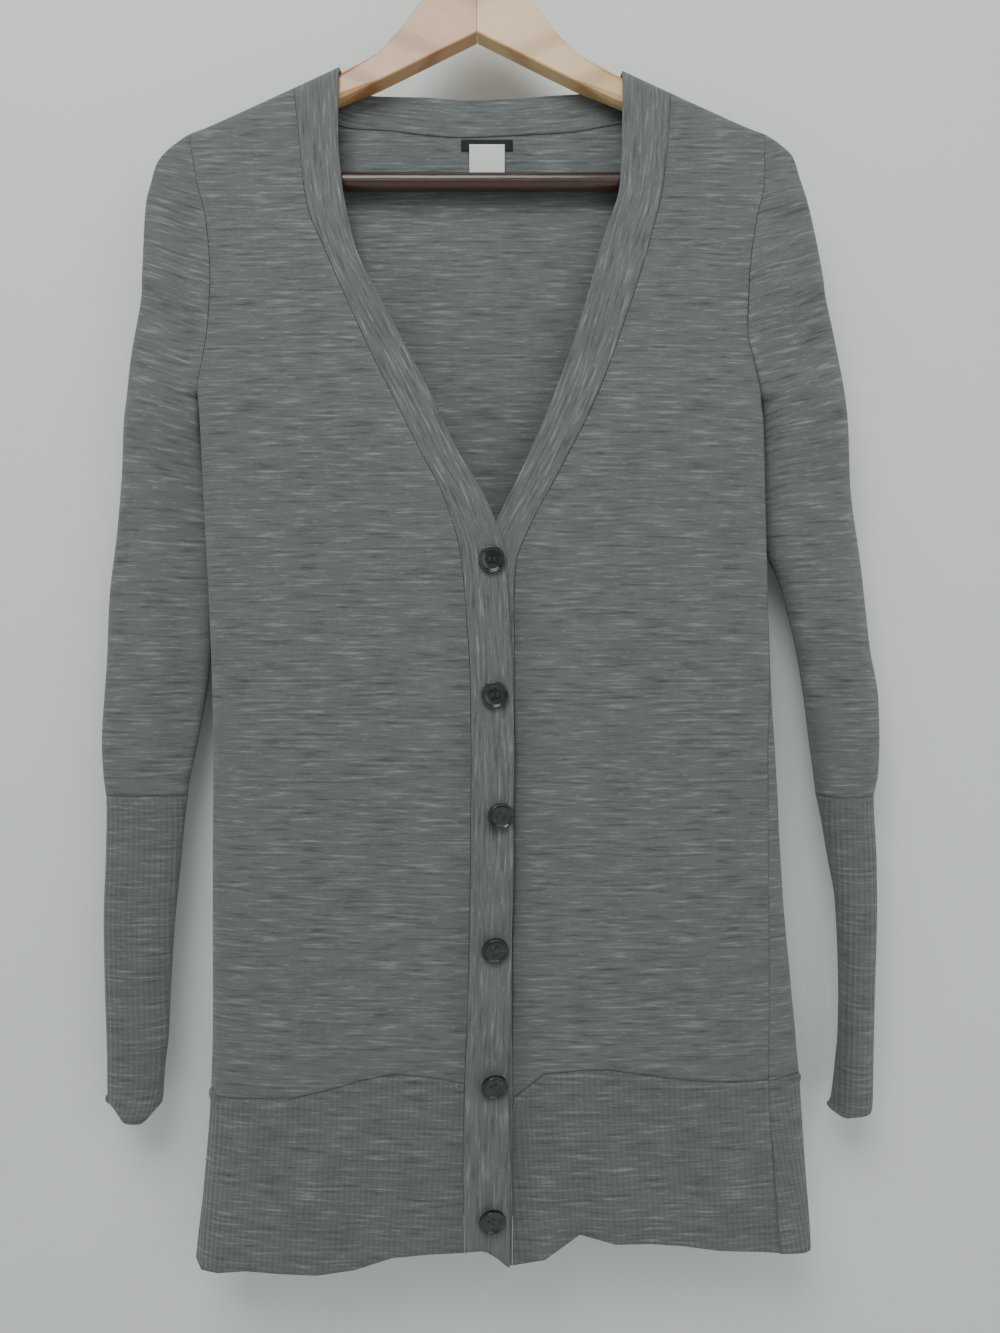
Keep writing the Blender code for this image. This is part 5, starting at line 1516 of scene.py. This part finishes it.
def plain(name, color, see_through):
    material, tree, shader = start_material(name, 0.9, Specular_IOR_Level=0.1)
    shader.inputs["Base Color"].default_value = (*color, 1.0)
    if see_through:
        clear = tree.nodes.new("ShaderNodeBsdfTransparent")
        blend = tree.nodes.new("ShaderNodeMixShader")
        behind = tree.nodes.new("ShaderNodeNewGeometry")
        tree.links.new(behind.outputs["Backfacing"], blend.inputs["Fac"])
        tree.links.new(shader.outputs[0], blend.inputs[1])
        tree.links.new(clear.outputs[0], blend.inputs[2])
        tree.links.new(blend.outputs[0], tree.nodes["Material Output"].inputs["Surface"])
    return material


def make_stage():
    bpy.ops.mesh.primitive_plane_add(size=6.0, location=(0, WALL_Y, 0), rotation=(math.pi / 2, 0, 0))
    wall = bpy.context.object
    wall.name = "wall"
    wall.data.materials.append(plain("wall_paint", (0.80, 0.83, 0.815), True))
    bpy.ops.mesh.primitive_plane_add(size=6.0, location=(0, 0, FLOOR_Z))
    floor = bpy.context.object
    floor.name = "floor"
    floor.data.materials.append(plain("floor_paint", (0.78, 0.80, 0.79), False))


def area_light(name, size, power, place_at, target, color=(1, 1, 1)):
    light = bpy.data.lights.new(name, "AREA")
    light.shape = "DISK"
    light.size = size
    light.energy = power
    light.color = color
    lamp = bpy.data.objects.new(name, light)
    bpy.context.scene.collection.objects.link(lamp)
    lamp.location = place_at
    lamp.rotation_euler = (Vector(target) - Vector(place_at)).to_track_quat("-Z", "Y").to_euler()


def make_view():
    camera = bpy.data.objects.new("camera", bpy.data.cameras.new("camera"))
    bpy.context.scene.collection.objects.link(camera)
    camera.location = (CAMERA_X, CAMERA_Y, CAMERA_Z)
    camera.rotation_euler = (math.pi / 2, 0, 0)
    camera.data.lens = LENS
    camera.data.sensor_width = 36.0
    camera.data.clip_start = 0.01
    bpy.context.scene.camera = camera
    area_light("key", 0.9, 14, (-0.25, -1.10, 0.55), (0.0, 0.0, -0.35), (0.97, 1.0, 0.99))
    area_light("fill", 1.6, 6, (0.9, -1.5, -0.2), (0.0, 0.0, -0.5), (0.96, 1.0, 1.0))
    world = bpy.data.worlds.new("room")
    world.use_nodes = True
    world.node_tree.nodes["Background"].inputs["Color"].default_value = (0.93, 1.0, 0.98, 1.0)
    world.node_tree.nodes["Background"].inputs["Strength"].default_value = 0.35
    bpy.context.scene.world = world


def main():
    stitches, heather, grain = make_stitch_group(), make_heather_group(), make_grain_group()
    base, light, dark = (0.150, 0.164, 0.161), (0.300, 0.320, 0.315), (0.082, 0.090, 0.090)
    body = knit_material("heather_knit", stitches, heather, base, light, dark)
    rib = knit_material("heather_rib", stitches, heather, base, light, dark, rib=0.0036)
    band = knit_material("heather_band", stitches, heather, base, light, dark)
    make_knitwear(body, rib, band)
    make_pocket_bags(body)
    make_labels(
        label_material("black_woven", (0.006, 0.006, 0.007), (0.020, 0.020, 0.021)),
        label_material("white_woven", (0.76, 0.77, 0.74), (0.60, 0.61, 0.58)),
    )
    make_buttons(horn_material(), thread_material())
    finish_hanger(grain, wire_material())
    make_stage()
    make_view()


main()
